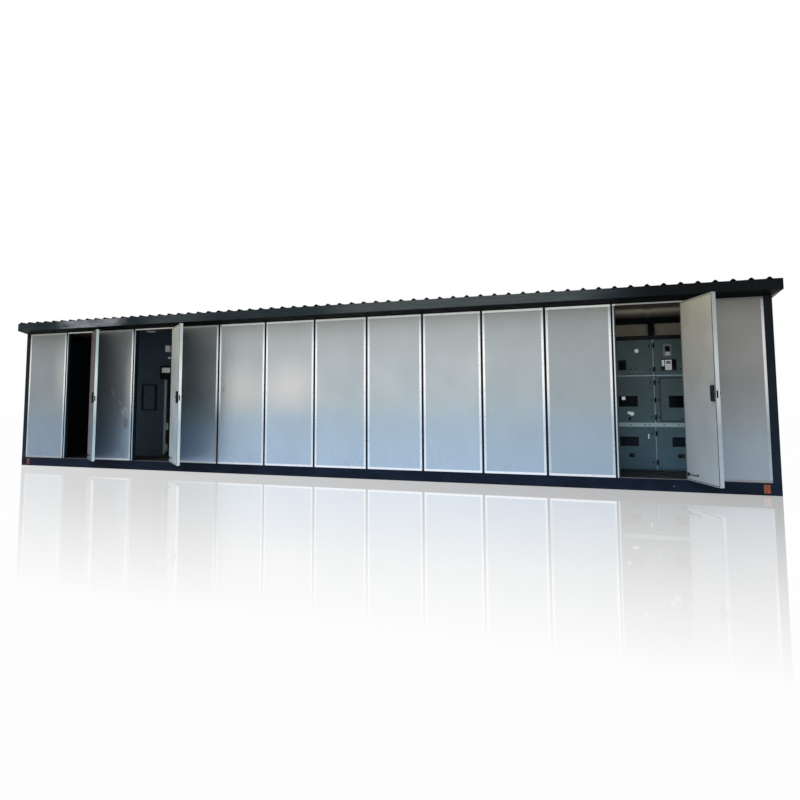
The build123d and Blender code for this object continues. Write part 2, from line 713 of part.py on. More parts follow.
def switchgear():
    """Row of closed cubicles with three compartment doors each."""
    seam = seam_x()
    y = FRONT + AISLE
    face = y - CUBICLE_DOOR
    back = inner_frame_front() - CUBICLE_BACK_GAP
    x0 = seam - CUBICLE_WIDTH
    x1 = seam + CUBICLE_WIDTH
    top = CUBICLE_TOP
    save("cubicle_left", block(x0, seam, y, back, FLOOR, top))
    save("cubicle_right", block(seam, x1, y, back, FLOOR, top))
    save("cubicle_left_doors", *compartment_doors(x0, y))
    right_doors = compartment_doors(seam, y)
    seal = inner_door_seal(seam, face)
    right_doors[1] -= seal
    save("cubicle_right_doors", *right_doors)
    save("cubicle_door_seal", seal)

    half = SEAM_STRIP / 2
    bands = block(seam - half, seam + half, y - BAND_THICKNESS, y, FLOOR, top)
    for low, high in ((LOWER_HEAD, MIDDLE_FOOT), (MIDDLE_HEAD, UPPER_FOOT)):
        bands += block(x0, x1, y - BAND_THICKNESS, y, low + BAND_GAP, high - BAND_GAP)
    save("cubicle_bands", bands)
    duct_deep, duct_tall = TOP_DUCT
    save("cubicle_top_duct", block(x0, x1, y, y + duct_deep, top, top + duct_tall))
    lower = [(left, wide, -low, -high, WINDOW_THICKNESS) for left, wide, low, high in LOWER_WINDOWS]
    middle = [(*each, WINDOW_THICKNESS) for each in MIDDLE_WINDOWS]
    windows = raised(seam, face, LOWER_HEAD, lower) + raised(seam, face, MIDDLE_FOOT, middle)
    save("cubicle_windows", *windows)
    save("cubicle_instruments", *instruments(seam, face))
    save("cubicle_latches", *raised(seam, face, LOWER_FOOT, CUBICLE_LATCHES))

    lower, middle, upper = seam_fittings()
    heights = lower + middle + upper
    knobs = [(KNOB_OFFSET, z) for z in heights]
    knobs += [(INNER_DOOR_PIN_OFFSET, z) for z in middle]
    solids = [rod_y(seam + x, face - KNOB_DEPTH, face, z, KNOB_RADIUS) for x, z in knobs]
    save("cubicle_knobs", *solids)
    wide, deep, tall = HINGE_BLOCK
    left = HINGE_BLOCK_OFFSET
    blocks = [(left, wide, z - tall / 2, z + tall / 2, deep) for z in heights]
    save("cubicle_hinge_blocks", *raised(seam, face, 0, blocks))


def inner_frame_front():
    """The inner beam hangs on the inner face of the rear top beam."""
    return REAR - POST - INNER_FRAME


def inner_frame():
    """Beam under the ceiling, post and ribbed wall lining behind the cubicles, ceiling strip."""
    seam = seam_x()
    front = inner_frame_front()
    back = front + INNER_FRAME
    beam_under = CEILING - INNER_FRAME
    save("inner_beam", block(LEFT + POST, RIGHT - POST, front, back, beam_under, CEILING))
    x = seam + INNER_POST_OFFSET
    save("inner_post", block(x, x + INNER_FRAME, front, back, FLOOR, beam_under))
    left, width, thick = CEILING_STRIP
    x = seam + left
    start = FRONT + POST + CEILING_STRIP_SETBACK
    save("ceiling_strip", block(x, x + width, start, front, CEILING - thick, CEILING))
    save("rear_lining", rear_lining(seam - LINING_REACH, RIGHT - POST - POST_GAP, back))


def rear_lining(x0, x1, front):
    """Ribbed sheet on the rear studs, its ribs towards the room."""
    back = REAR - STUD_FRONT - STUD
    lining = block(x0, x1, back - LINING_SHEET, back, FLOOR, PANEL_TOP)
    count = int((x1 - x0) // LINING_RIB_PITCH)
    half = LINING_RIB_WIDTH / 2
    for i in range(count):
        x = x0 + (i + 0.5) * LINING_RIB_PITCH
        lining += block(x - half, x + half, front, back, FLOOR, PANEL_TOP)
    return lining


def screen():
    """Screen inside the middle doorway, with a framed window and small equipment on its face."""
    a, _ = doorways()[1]
    y = FRONT + SCREEN_SETBACK
    x0 = a - SCREEN_REACH
    save("screen", block(x0, a + SCREEN_BEYOND, y, y + SCREEN_THICKNESS, FLOOR, CEILING))
    left, wide, low, high = SCREEN_WINDOW
    bar = SCREEN_WINDOW_BAR
    x0 = a + left
    x1 = x0 + wide
    outer = block(x0, x1, y - bar, y, FLOOR + low, FLOOR + high)
    hole_level = (FLOOR + low + bar, FLOOR + high - bar)
    hole = block(x0 + bar, x1 - bar, y - bar - OVERRUN, y + OVERRUN, *hole_level)
    save("screen_window_frame", outer - hole)
    save("screen_equipment", *raised(a, y, FLOOR, SCREEN_EQUIPMENT))
    lamp_x, from_screen = CEILING_LAMP
    radius, deep = CEILING_LAMP_SIZE
    save("ceiling_lamp", rod(a + lamp_x, y - from_screen, CEILING - deep, radius, deep))


def markers():
    """Bare plates on the base beam near both corners."""
    wide, thick, tall = MARKER
    z = (BASE_HEIGHT - tall) / 2
    plates = []
    for x in (LEFT + MARKER_FROM_END, RIGHT - MARKER_FROM_END - wide):
        plates.append(block(x, x + wide, FRONT - thick, FRONT, z, z + tall))
    save("marker_plates", *plates)


def main():
    os.makedirs("parts", exist_ok=True)
    base()
    frame()
    walls()
    linings()
    frame_hinges()
    for number, (a, b) in enumerate(doorways(), 1):
        door(number, a, b)
    roof()
    fascias()
    switchgear()
    inner_frame()
    screen()
    markers()


main()
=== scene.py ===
import json
import math

import bmesh
import bpy
from mathutils import Matrix, Vector


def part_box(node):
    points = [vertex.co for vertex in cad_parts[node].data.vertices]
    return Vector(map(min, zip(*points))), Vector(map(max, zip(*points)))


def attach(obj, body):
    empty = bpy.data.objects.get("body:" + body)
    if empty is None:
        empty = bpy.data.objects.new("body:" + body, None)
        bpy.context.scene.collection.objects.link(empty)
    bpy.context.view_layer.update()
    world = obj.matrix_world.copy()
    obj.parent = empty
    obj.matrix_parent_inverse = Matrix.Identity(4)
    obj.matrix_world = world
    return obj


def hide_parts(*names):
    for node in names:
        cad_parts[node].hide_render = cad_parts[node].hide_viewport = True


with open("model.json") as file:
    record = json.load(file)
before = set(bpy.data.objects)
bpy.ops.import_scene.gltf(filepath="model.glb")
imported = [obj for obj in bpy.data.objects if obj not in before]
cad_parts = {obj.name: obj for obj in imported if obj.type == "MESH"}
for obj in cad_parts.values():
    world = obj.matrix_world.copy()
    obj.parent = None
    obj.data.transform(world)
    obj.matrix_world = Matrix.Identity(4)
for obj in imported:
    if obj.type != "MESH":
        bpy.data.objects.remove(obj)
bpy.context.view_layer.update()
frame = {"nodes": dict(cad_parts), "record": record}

# Camera of the photograph: place in metres, angles in degrees, lens for a 36 mm sensor
CAMERA_PLACE = (5.873, -13.083, 1.444)
CAMERA_YAW = 20.76
CAMERA_PITCH = 5.19
CAMERA_ROLL = 0.21
CAMERA_LENS = 29.86
CAMERA_SHIFT = (0.010, -0.0736)

# Main sizes and places of the CAD model, in metres
HALF_LENGTH = 7.7675
FRONT = -1.5
REAR = 1.5
POST = 0.12
FLOOR = 0.19
PANEL_TOP = 3.048
PANEL_THICKNESS = 0.06
TRIM_WIDTH = 0.038
TRIM_THICKNESS = 0.002
HALF_JOINT = 0.021
POST_GAP = 0.003
CEILING = 3.12
BEAM_FLANGE = 0.07
BEAM_WEB = 0.008
BAYS = "P d P D P P P P P P P P D P".split()
BAY_WIDTH = {"P": 1.11, "D": 1.11, "d": 0.825}
# The bays are counted from this far inside the left post
FIRST_BAY_SHIFT = 0.02
REAR_BAYS = 14
END_BAYS = 3
DOORWAY_EDGE = 0.012
LINING_WIDTH = 0.036
LINING_HEIGHT = 0.024
DOOR_SIDE_GAP = 0.005
DOOR_THICKNESS = 0.054
LEAF_BOTTOM = 0.202
LEAF_TOP = 3.016
DOOR_OPEN = {1: 142.0, 2: 137.5, 3: 111.5}
HINGE_SIDE = 0.004
HINGE_OUT = 0.010
LOCK_HEIGHT = 1.545
LOCK_FROM_EDGE = 0.034
LOCK_DEPTH = 0.038
SEAM = 6.0425
CUBICLE_WIDTH = 0.8
CUBICLE_FACE = -0.018
BAND_FACE = -0.008
SCREEN_FACE = -0.35
ROOF_FALL = 1.5
ROOF_FRONT = -1.68
ROOF_LEFT = -7.8675
ROOF_RIGHT = 7.9025
ROOF_FRONT_HEIGHT = 3.2893
PURLINS = (-1.640, -0.570, 0.500, 1.570)
RIB_PITCH = 0.25
FIRST_RIB = 0.18
BESIDE_RIB = 0.065
FASCIA_BOTTOM = 3.127
FASCIA_TOP = 3.285
FASCIA_LAPS = (-4.62, -1.51, 1.60, 4.71)
# The mirror image on the floor ends this far from the building
MIRROR_REACH = 7.7

# Directions out of the front and into the house
OUT = (0, -1, 0)
IN = (0, 1, 0)
# Where the pieces on the cubicles are measured from: x and y
CUBICLES = (SEAM, CUBICLE_FACE)
# Order of the materials in the pieces with equipment
LIGHT, GREY, DARK, GLASS, STEEL = range(5)

# Colours by height in metres, with 8-bit values, holding painted reflection and painted shade: bluer low
# down, brightest at mid height, darker under the eaves at the top
PANEL_PAINTED_LIGHT = (
    (0.19, (164, 187, 212)),
    (0.9, (164, 185, 203)),
    (1.5, (174, 187, 194)),
    (2.2, (178, 186, 190)),
    (2.65, (170, 177, 178)),
    (3.0, (150, 155, 152)),
)
TRIM_PAINTED_REFLECTION = (
    (0.19, (224, 240, 255)),
    (0.9, (202, 220, 238)),
    (1.3, (228, 240, 248)),
    (1.8, (255, 255, 253)),
    (2.5, (250, 253, 255)),
    (3.0, (178, 185, 187)),
)
LEAF_EDGE_PAINTED_REFLECTION = (
    (0.19, (212, 226, 240)),
    (1.0, (188, 208, 222)),
    (1.4, (232, 240, 240)),
    (2.0, (246, 255, 252)),
    (2.5, (204, 216, 214)),
    (3.0, (184, 194, 196)),
)
# Brightness of each bay of the front, painted shade and painted reflection: panels beside an open leaf are
# painted darker as if they mirror its shaded side
PANEL_PAINTED_SHADE = (0.55, 0.6, 0.50, 0.6, 0.54, 0.92, 0.96, 0.94, 0.96, 0.93, 0.86, 0.72, 0.8, 0.50)
PANEL_FOOT_PAINTED_SHADE = (0.60, 0.6, 0.62, 0.6, 0.95, 0.96, 1.0, 1.0, 1.0, 1.0, 0.90, 0.80, 0.8, 0.72)
TRIM_PAINTED_SHADE = (0.85, 0.6, 0.95, 0.6, 1.0, 1.0, 1.0, 1.0, 1.0, 1.0, 1.0, 0.90, 0.8, 0.70)
TRIM_FOOT_PAINTED_SHADE = (0.64, 0.6, 0.62, 0.6, 0.40, 0.90, 0.97, 1.0, 1.0, 1.0, 0.92, 0.70, 0.6, 0.50)
TRIM_TOP_PAINTED_SHADE = (0.42, 0.75, 0.30, 0.75, 0.38, 0.80, 0.85, 0.85, 0.85, 0.90, 1.0, 1.0, 0.45, 0.14)
TRIM_SILL_PAINTED_SHADE = (0.38, 0.6, 0.70, 0.6, 0.70, 0.85, 0.95, 1.0, 1.0, 1.0, 1.0, 0.90, 0.6, 0.30)
# Scratches between the left doorways and on the fifth panel after them: x, z, run, rise, half width
SCRATCHES = (
    (-5.18, 1.745, 0.05, -0.10, 0.012),
    (-5.12, 1.660, 0.04, -0.09, 0.012),
    (-4.955, 1.490, 0.08, -0.09, 0.010),
    (-4.885, 1.300, 0.05, -0.13, 0.013),
    (-4.815, 1.340, 0.03, -0.15, 0.012),
    (-4.79, 1.340, 0.09, -0.11, 0.012),
    (-4.86, 1.210, 0.07, 0.09, 0.011),
    (-4.95, 0.415, 0.03, -0.10, 0.012),
    (-5.03, 0.390, 0.04, -0.10, 0.010),
    (2.21, 0.880, 0.05, -0.34, 0.006),
    (2.31, 0.600, 0.03, -0.30, 0.005),
)
# Soft painted reflections on the front: x, z, half width, half height, colour, strength
PAINTED_REFLECTIONS = (
    (-1.86, 1.72, 0.86, 0.74, (206, 206, 200), 0.75),
    (-0.68, 1.74, 0.96, 0.74, (213, 210, 207), 0.80),
    (-6.52, 2.10, 0.50, 1.05, (182, 184, 180), 0.60),
    (-4.62, 1.85, 0.26, 1.10, (190, 188, 186), 0.70),
    (-4.66, 0.75, 0.42, 0.80, (146, 172, 196), 0.60),
    (-4.82, 0.62, 0.10, 0.26, (150, 176, 178), 0.45),
    (-2.45, 1.70, 0.35, 1.50, (128, 140, 148), 0.55),
)


def srgb(red, green, blue):
    """Linear colour of an 8-bit colour."""
    def linear(value):
        value /= 255.0
        return value / 12.92 if value <= 0.04045 else ((value + 0.055) / 1.055) ** 2.4
    return (linear(red), linear(green), linear(blue), 1.0)


def scaled(color, factor):
    return (color[0] * factor, color[1] * factor, color[2] * factor, 1.0)


class Nodes:
    """Short calls for the nodes of one tree."""

    def __init__(self, tree):
        self.tree = tree

    def new(self, kind):
        return self.tree.nodes.new("ShaderNode" + kind)

    def link(self, source, target):
        self.tree.links.new(source, target)

    def feed(self, socket, value):
        if isinstance(value, bpy.types.NodeSocket):
            self.link(value, socket)
        else:
            socket.default_value = value

    def math(self, operation, first, second=0.0):
        node = self.new("Math")
        node.operation = operation
        self.feed(node.inputs[0], first)
        self.feed(node.inputs[1], second)
        return node.outputs[0]

    def times(self, first, second):
        return self.math("MULTIPLY", first, second)

    def plus(self, first, second):
        return self.math("ADD", first, second)

    def minus(self, first, second):
        return self.math("SUBTRACT", first, second)

    def larger(self, first, second):
        return self.math("MAXIMUM", first, second)

    def range(self, value, low, high, to_low=0.0, to_high=1.0, smooth=True):
        node = self.new("MapRange")
        if smooth:
            node.interpolation_type = "SMOOTHSTEP"
        for socket, given in zip(node.inputs, (value, low, high, to_low, to_high)):
            self.feed(socket, given)
        return node.outputs[0]

    def inside(self, value, low, high, soft=0.01):
        """1 between two limits, 0 outside them."""
        rise = self.range(value, low - soft, low + soft)
        fall = self.range(value, high - soft, high + soft, 1.0, 0.0)
        return self.times(rise, fall)


class Shader(Nodes):
    """A node material over the object's own coordinates."""

    def __init__(self, name, roughness=0.5, metallic=0.0, specular=0.5):
        self.material = bpy.data.materials.new(name)
        self.material.use_nodes = True
        super().__init__(self.material.node_tree)
        self.surface = self.tree.nodes["Principled BSDF"]
        self.surface.inputs["Roughness"].default_value = roughness
        self.surface.inputs["Metallic"].default_value = metallic
        self.surface.inputs["Specular IOR Level"].default_value = specular
        self.place = self.new("TexCoord").outputs["Object"]
        split = self.new("SeparateXYZ")
        self.link(self.place, split.inputs[0])
        self.x, self.y, self.z = split.outputs

    def noise(self, scale, detail, rough, stretch=None, distortion=0.0):
        """Noise, drawn out along each axis whose stretch is under 1."""
        place = self.place
        if stretch:
            mapping = self.new("Mapping")
            self.link(place, mapping.inputs["Vector"])
            mapping.inputs["Scale"].default_value = stretch
            place = mapping.outputs[0]
        node = self.new("TexNoise")
        self.link(place, node.inputs["Vector"])
        node.inputs["Scale"].default_value = scale
        node.inputs["Detail"].default_value = detail
        node.inputs["Roughness"].default_value = rough
        node.inputs["Distortion"].default_value = distortion
        return node.outputs["Fac"]

    def ramp(self, value, stops, constant=False):
        node = self.new("ValToRGB")
        if constant:
            node.color_ramp.interpolation = "CONSTANT"
        elements = node.color_ramp.elements
        elements[0].position, elements[0].color = stops[0]
        elements[1].position, elements[1].color = stops[-1]
        for position, color in stops[1:-1]:
            elements.new(position).color = color
        self.link(value, node.inputs["Fac"])
        return node.outputs["Color"]

    def grays(self, value, stops, constant=False):
        """A ramp of brightness factors."""
        return self.ramp(value, [(place, (v, v, v, 1.0)) for place, v in stops], constant)

    def by_height(self, pairs):
        """Colour that follows the height, from pairs of metres and an 8-bit colour."""
        low = pairs[0][0]
        high = pairs[-1][0]
        level = self.range(self.z, low, high, smooth=False)
        return self.ramp(level, [((z - low) / (high - low), srgb(*color)) for z, color in pairs])

    def mix(self, factor, first, second, blend="MIX"):
        node = self.new("Mix")
        node.data_type = "RGBA"
        node.blend_type = blend
        self.feed(node.inputs["Factor"], factor)
        self.feed(node.inputs[6], first)
        self.feed(node.inputs[7], second)
        return node.outputs[2]

    def tint(self, first, second):
        """Two colours multiplied."""
        return self.mix(1.0, first, second, "MULTIPLY")

    def vary(self, tone, field, low, high, edge=0.3):
        """Tone times a brightness from low to high over a noise field."""
        return self.tint(tone, self.grays(field, [(edge, low), (1.0 - edge, high)]))

    def shades(self, field, base, low, high, edge=0.3):
        """One base colour, from low to high times as bright over a noise field."""
        return self.ramp(field, [(edge, scaled(base, low)), (1.0 - edge, scaled(base, high))])

    def specks(self, tone, field, low, high, level, color):
        """Tone with another colour where the noise field is high."""
        return self.mix(self.range(field, low, high, 0.0, level), tone, srgb(*color))

    def color(self, tone):
        self.feed(self.surface.inputs["Base Color"], tone)

    def roughness(self, scale, low, high, detail=4.0):
        """Roughness that drifts between two values."""
        field = self.noise(scale, detail, 0.6)
        self.feed(self.surface.inputs["Roughness"], self.range(field, 0.3, 0.7, low, high))

    def bump(self, height, strength, distance):
        node = self.new("Bump")
        node.inputs["Strength"].default_value = strength
        node.inputs["Distance"].default_value = distance
        self.link(height, node.inputs["Height"])
        self.link(node.outputs["Normal"], self.surface.inputs["Normal"])

    def grain(self, scale, strength, distance):
        """Fine even bump."""
        self.bump(self.noise(scale, 2.0, 0.5), strength, distance)


def bay_edges():
    """Kind of each bay of the front with its left and right limit."""
    edges = [-HALF_LENGTH + POST + FIRST_BAY_SHIFT]
    for kind in BAYS:
        edges.append(edges[-1] + BAY_WIDTH[kind])
    edges[0] = -HALF_LENGTH + POST
    edges[-1] = HALF_LENGTH - POST
    return list(zip(BAYS, edges, edges[1:]))


def doorway_limits():
    return [(a, b) for kind, a, b in bay_edges() if kind in "dD"]


def leaf_span(a, b):
    """Left and right edge of the shut leaf in a doorway."""
    return a + DOORWAY_EDGE + LINING_WIDTH + DOOR_SIDE_GAP, b - DOORWAY_EDGE


def hinge_axis(b):
    """Place of a leaf's hinge axis, from the right limit of its doorway."""
    return b - DOORWAY_EDGE + HINGE_SIDE, FRONT - HINGE_OUT


def bay_painted_shade(s, tones):
    """Painted shade: brightness that changes from bay to bay along the front."""
    along = s.range(s.x, -HALF_LENGTH, HALF_LENGTH, smooth=False)
    joints = [b for _, _, b in bay_edges()[:-1]]
    starts = [0.0] + [(x + HALF_LENGTH) / (2 * HALF_LENGTH) for x in joints]
    return s.grays(along, list(zip(starts, tones)), constant=True)


def front_mask(s):
    """1 on the front, 0 on the other sides."""
    return s.range(s.y, FRONT + 0.04, FRONT + 0.06, 1.0, 0.0)


def within(s, x, y):
    """1 nearer to the middle of the house than x and y, 0 outside them."""
    soft = 0.0004
    return s.times(s.inside(s.y, -y, y, soft), s.inside(s.x, -x, x, soft))


def scratches(s):
    """Mask of the fine straight scratches."""
    total = None
    for x0, z0, run, rise, half in SCRATCHES:
        length = math.hypot(run, rise)
        dx = s.minus(s.x, x0)
        dz = s.minus(s.z, z0)
        across = s.minus(s.times(dx, rise / length), s.times(dz, run / length))
        along = s.plus(s.times(dx, run / length), s.times(dz, rise / length))
        near = s.range(s.math("ABSOLUTE", across), half * 0.4, half, 1.0, 0.0)
        mask = s.times(near, s.inside(along, 0.0, length, length * 0.2))
        total = mask if total is None else s.larger(total, mask)
    return total


def paint_reflection(s, tone, x, z, wide, high, color, level):
    """Blends a soft oval of painted reflection into a tone."""
    across = s.math("DIVIDE", s.minus(s.x, x), wide)
    along = s.math("DIVIDE", s.minus(s.z, z), high)
    square = s.plus(s.math("POWER", across, 2.0), s.math("POWER", along, 2.0))
    mask = s.range(s.math("SQRT", square), 0.0, 1.0, level, 0.0)
    return s.mix(mask, tone, srgb(*color))


def panel_skin():
    """Silver coated sheet with soft clouding and fine scratches; painted reflection and painted shade by
    height and by bay on the front; inner faces painted dark as painted shade of the unlit inside.
    """
    coat_metallic = 0.6
    s = Shader("panel_skin", 0.36, coat_metallic)
    on_front = front_mask(s)
    # Painted shade by bay, over the bluer painted reflection and the eaves' painted shade by height
    low = s.range(s.z, 0.6, 1.7, 1.0, 0.0)
    bays = s.mix(low, bay_painted_shade(s, PANEL_PAINTED_SHADE), bay_painted_shade(s, PANEL_FOOT_PAINTED_SHADE))
    bays = s.mix(on_front, (0.92, 0.92, 0.92, 1.0), bays)
    tone = s.tint(s.by_height(PANEL_PAINTED_LIGHT), bays)
    # The last panel is a little warmer
    last = s.times(s.range(s.x, 6.51, 6.52), on_front)
    tone = s.mix(last, tone, s.tint(tone, srgb(255, 245, 237)))
    clouds = s.noise(0.62, 2.5, 0.55, (1.0, 1.0, 0.9))
    pale = s.times(s.range(clouds, 0.47, 0.66), s.inside(s.z, 1.35, 2.25, 0.35))
    tone = s.mix(s.times(pale, 0.15), tone, s.tint(srgb(232, 230, 222), bays))
    painted = tone
    # Soft painted reflections on the front
    for place in PAINTED_REFLECTIONS:
        painted = paint_reflection(s, painted, *place)
    tone = s.mix(on_front, tone, painted)
    tone = s.vary(tone, s.noise(2.3, 3.0, 0.5, (1.0, 1.0, 0.6)), 0.965, 1.03)
    tone = s.vary(tone, s.noise(26.0, 3.0, 0.6, (1.0, 1.0, 0.05)), 0.985, 1.012)
    # Dirt along the foot
    foot = s.range(s.z, 0.2, 0.6, 1.0, 0.0)
    dirt = s.times(s.range(s.noise(5.0, 6.0, 0.65), 0.5, 0.75), foot)
    tone = s.mix(s.times(dirt, 0.25), tone, srgb(112, 122, 134))
    # Brown stain beside the middle doorway
    spot = s.times(s.inside(s.x, -4.80, -4.68, 0.03), s.inside(s.z, 0.90, 1.09, 0.05))
    stain = s.times(s.range(s.noise(6.0, 4.0, 0.6, (1.0, 1.0, 0.5)), 0.3, 0.6), spot)
    tone = s.mix(s.times(s.times(stain, on_front), 0.75), tone, srgb(112, 92, 76))
    # Grey smudge and pale scratches
    smudge = s.times(s.inside(s.x, -2.24, -2.215, 0.012), s.inside(s.z, 1.65, 1.75, 0.02))
    tone = s.mix(s.times(s.times(smudge, on_front), 0.6), tone, srgb(96, 100, 104))
    tone = s.mix(s.times(s.times(scratches(s), on_front), 0.6), tone, srgb(198, 210, 216))
    # Inner faces painted dark: painted shade of the unlit inside
    inner = within(s, HALF_LENGTH - PANEL_THICKNESS + 0.0004, REAR - PANEL_THICKNESS + 0.0005)
    s.color(s.mix(inner, tone, srgb(34, 40, 46)))
    s.feed(s.surface.inputs["Metallic"], s.times(s.minus(1.0, inner), coat_metallic))
    s.roughness(2.1, 0.33, 0.44)
    wave = s.times(s.noise(1.7, 1.0, 0.4), 6.0)
    fine = s.times(s.noise(140.0, 2.0, 0.5), 0.08)
    s.bump(s.plus(wave, fine), 0.35, 0.0012)
    return s.material


def edge_trim():
    """Bright aluminium profile with painted light: painted reflection by height and painted shade by bay on
    its flanges, painted shade on its webs in the joints.
    """
    s = Shader("edge_trim", 0.3, 0.1)
    # Painted reflection by height; painted shade by bay on the sides, the top and the sill
    base = s.by_height(TRIM_PAINTED_REFLECTION)
    low = s.range(s.z, 1.0, 1.7, 1.0, 0.0)
    side = s.tint(base, s.mix(low, bay_painted_shade(s, TRIM_PAINTED_SHADE), bay_painted_shade(s, TRIM_FOOT_PAINTED_SHADE)))
    top = s.tint(srgb(236, 240, 232), bay_painted_shade(s, TRIM_TOP_PAINTED_SHADE))
    sill = s.tint(srgb(236, 244, 255), bay_painted_shade(s, TRIM_SILL_PAINTED_SHADE))
    tone = s.mix(s.range(s.z, 3.006, 3.012), side, top)
    tone = s.mix(s.range(s.z, 0.224, 0.230, 1.0, 0.0), tone, sill)
    # The lining of the doorways: a thin bright line beside its shaded lip
    shade = s.mix(s.range(s.x, 0.0, 5.0), srgb(30, 56, 70), srgb(40, 38, 40))
    bright = s.tint(base, srgb(214, 226, 228))
    below = s.range(s.z, 3.02, 3.026, 1.0, 0.0)
    for a, _ in doorway_limits():
        left = a + DOORWAY_EDGE
        lip = s.times(s.inside(s.x, left + 0.018, left + 0.037, 0.002), below)
        tone = s.mix(lip, tone, shade)
        lit = s.times(s.inside(s.x, left - 0.001, left + 0.018, 0.001), below)
        tone = s.mix(s.times(lit, 0.8), tone, bright)
    # The open leaves' edges: painted reflection by height, with painted shade on the right leaf
    leaf = s.range(s.y, -1.56, -1.53, 1.0, 0.0)
    leaf_edge_painted_light = s.mix(s.range(s.x, -4.5, -4.0), srgb(240, 252, 250), srgb(248, 255, 253))
    leaf_edge_painted_light = s.mix(s.range(s.x, 0.0, 1.0), leaf_edge_painted_light, srgb(200, 200, 204))
    tone = s.mix(leaf, tone, s.tint(s.by_height(LEAF_EDGE_PAINTED_REFLECTION), leaf_edge_painted_light))
    tone = s.mix(front_mask(s), s.tint(base, (0.94, 0.94, 0.94, 1.0)), tone)
    grain = s.noise(60.0, 3.0, 0.6, (1.0, 1.0, 0.08))
    tone = s.vary(tone, grain, 0.97, 1.02)
    tone = s.specks(tone, s.noise(7.0, 5.0, 0.65), 0.6, 0.8, 0.2, (128, 134, 138))
    # The webs in the joints: painted shade, bluer low down
    skin = 0.0008
    webs = within(s, HALF_LENGTH - skin, REAR - skin)
    web_painted_shade = s.mix(s.range(s.z, 0.2, 1.6), srgb(32, 56, 80), srgb(26, 34, 42))
    s.color(s.mix(webs, tone, web_painted_shade))
    s.roughness(11.0, 0.24, 0.38)
    s.bump(grain, 0.15, 0.0006)
    return s.material


def fascia_steel():
    """Dark eaves sheet: paler in bands of painted reflection, smudged to the left, near black to the right
    and below.
    """
    s = Shader("fascia_steel", 0.45, 0.0, 0.06)
    broad = s.noise(0.9, 3.0, 0.55, (1.0, 1.0, 0.5), 0.6)
    base = s.ramp(broad, [(0.3, srgb(24, 34, 38)), (0.7, srgb(40, 50, 54))])
    # Painted reflection: paler bands along the length
    faint = s.times(s.inside(s.x, -4.1, -2.6, 0.4), 0.55)
    pale = s.larger(s.inside(s.x, 0.4, 5.1, 0.5), faint)
    base = s.mix(s.times(pale, 0.75), base, srgb(78, 85, 86))
    base = s.mix(s.range(s.x, 5.1, 6.2), base, srgb(12, 15, 18))
    # Painted reflection: a paler band near the left end
    base = s.mix(s.times(s.inside(s.x, -6.2, -5.0, 0.3), 0.5), base, srgb(118, 122, 128))
    smudge = s.noise(1.5, 5.0, 0.6, (1.0, 1.0, 2.6), 0.8)
    place = s.times(s.inside(s.x, -6.5, -4.8, 0.25), s.range(smudge, 0.36, 0.6))
    base = s.mix(s.times(place, 0.8), base, srgb(140, 144, 150))
    tone = s.vary(base, s.noise(3.0, 4.0, 0.6, (0.4, 1.0, 9.0)), 0.78, 1.2)
    s.color(s.mix(s.range(s.z, 3.117, 3.126), srgb(9, 12, 14), tone))
    s.roughness(5.0, 0.38, 0.55)
    s.bump(s.noise(1.9, 2.0, 0.5, (1.0, 1.0, 0.4)), 0.25, 0.006)
    return s.material


def roof_steel():
    """Anthracite sheet with slight clouding, orange peel and pale dust."""
    s = Shader("roof_steel", 0.4, 0.0, 0.1)
    tone = s.shades(s.noise(1.6, 4.0, 0.55), srgb(26, 30, 34), 0.75, 1.25, 0.25)
    s.color(s.specks(tone, s.noise(6.0, 7.0, 0.7), 0.52, 0.78, 0.3, (80, 84, 86)))
    s.roughness(4.0, 0.34, 0.5)
    s.grain(220.0, 0.12, 0.0005)
    return s.material


def frame_steel():
    """Near-black posts, beams and joint covers, bluer towards the foot."""
    s = Shader("frame_steel", 0.45, 0.0, 0.07)
    base = s.by_height([(0.2, (24, 40, 56)), (1.4, (19, 28, 37)), (3.0, (15, 20, 24))])
    tone = s.vary(base, s.noise(1.6, 4.0, 0.55), 0.75, 1.3, 0.25)
    s.color(s.specks(tone, s.noise(6.0, 7.0, 0.7), 0.52, 0.78, 0.2, (46, 54, 62)))
    s.roughness(4.0, 0.38, 0.54)
    s.grain(220.0, 0.12, 0.0005)
    return s.material


def base_steel():
    """Navy base beam, scuffed and dusty near the ground."""
    s = Shader("base_steel", 0.42, 0.0, 0.06)
    tone = s.shades(s.noise(2.2, 5.0, 0.6, (1.0, 1.0, 1.8)), srgb(18, 29, 46), 0.65, 1.35)
    low = s.range(s.z, 0.0, 0.12, 1.0, 0.0)
    dust = s.times(s.range(s.noise(9.0, 7.0, 0.7), 0.4, 0.75), low)
    tone = s.mix(s.times(dust, 0.3), tone, srgb(50, 56, 66))
    scuffs = s.noise(14.0, 6.0, 0.7, (0.35, 1.0, 2.0))
    s.color(s.specks(tone, scuffs, 0.66, 0.78, 0.3, (66, 74, 90)))
    s.roughness(6.0, 0.32, 0.52)
    s.grain(160.0, 0.15, 0.0006)
    return s.material


def floor_steel():
    """Dark inner floor covering, brownish, with trodden dust."""
    s = Shader("floor_steel", 0.5, 0.0, 0.2)
    tone = s.shades(s.noise(2.4, 6.0, 0.65), srgb(36, 32, 30), 0.7, 1.4)
    s.color(s.specks(tone, s.noise(12.0, 6.0, 0.7), 0.5, 0.8, 0.3, (92, 86, 80)))
    s.roughness(5.0, 0.38, 0.62)
    s.grain(90.0, 0.2, 0.0008)
    return s.material


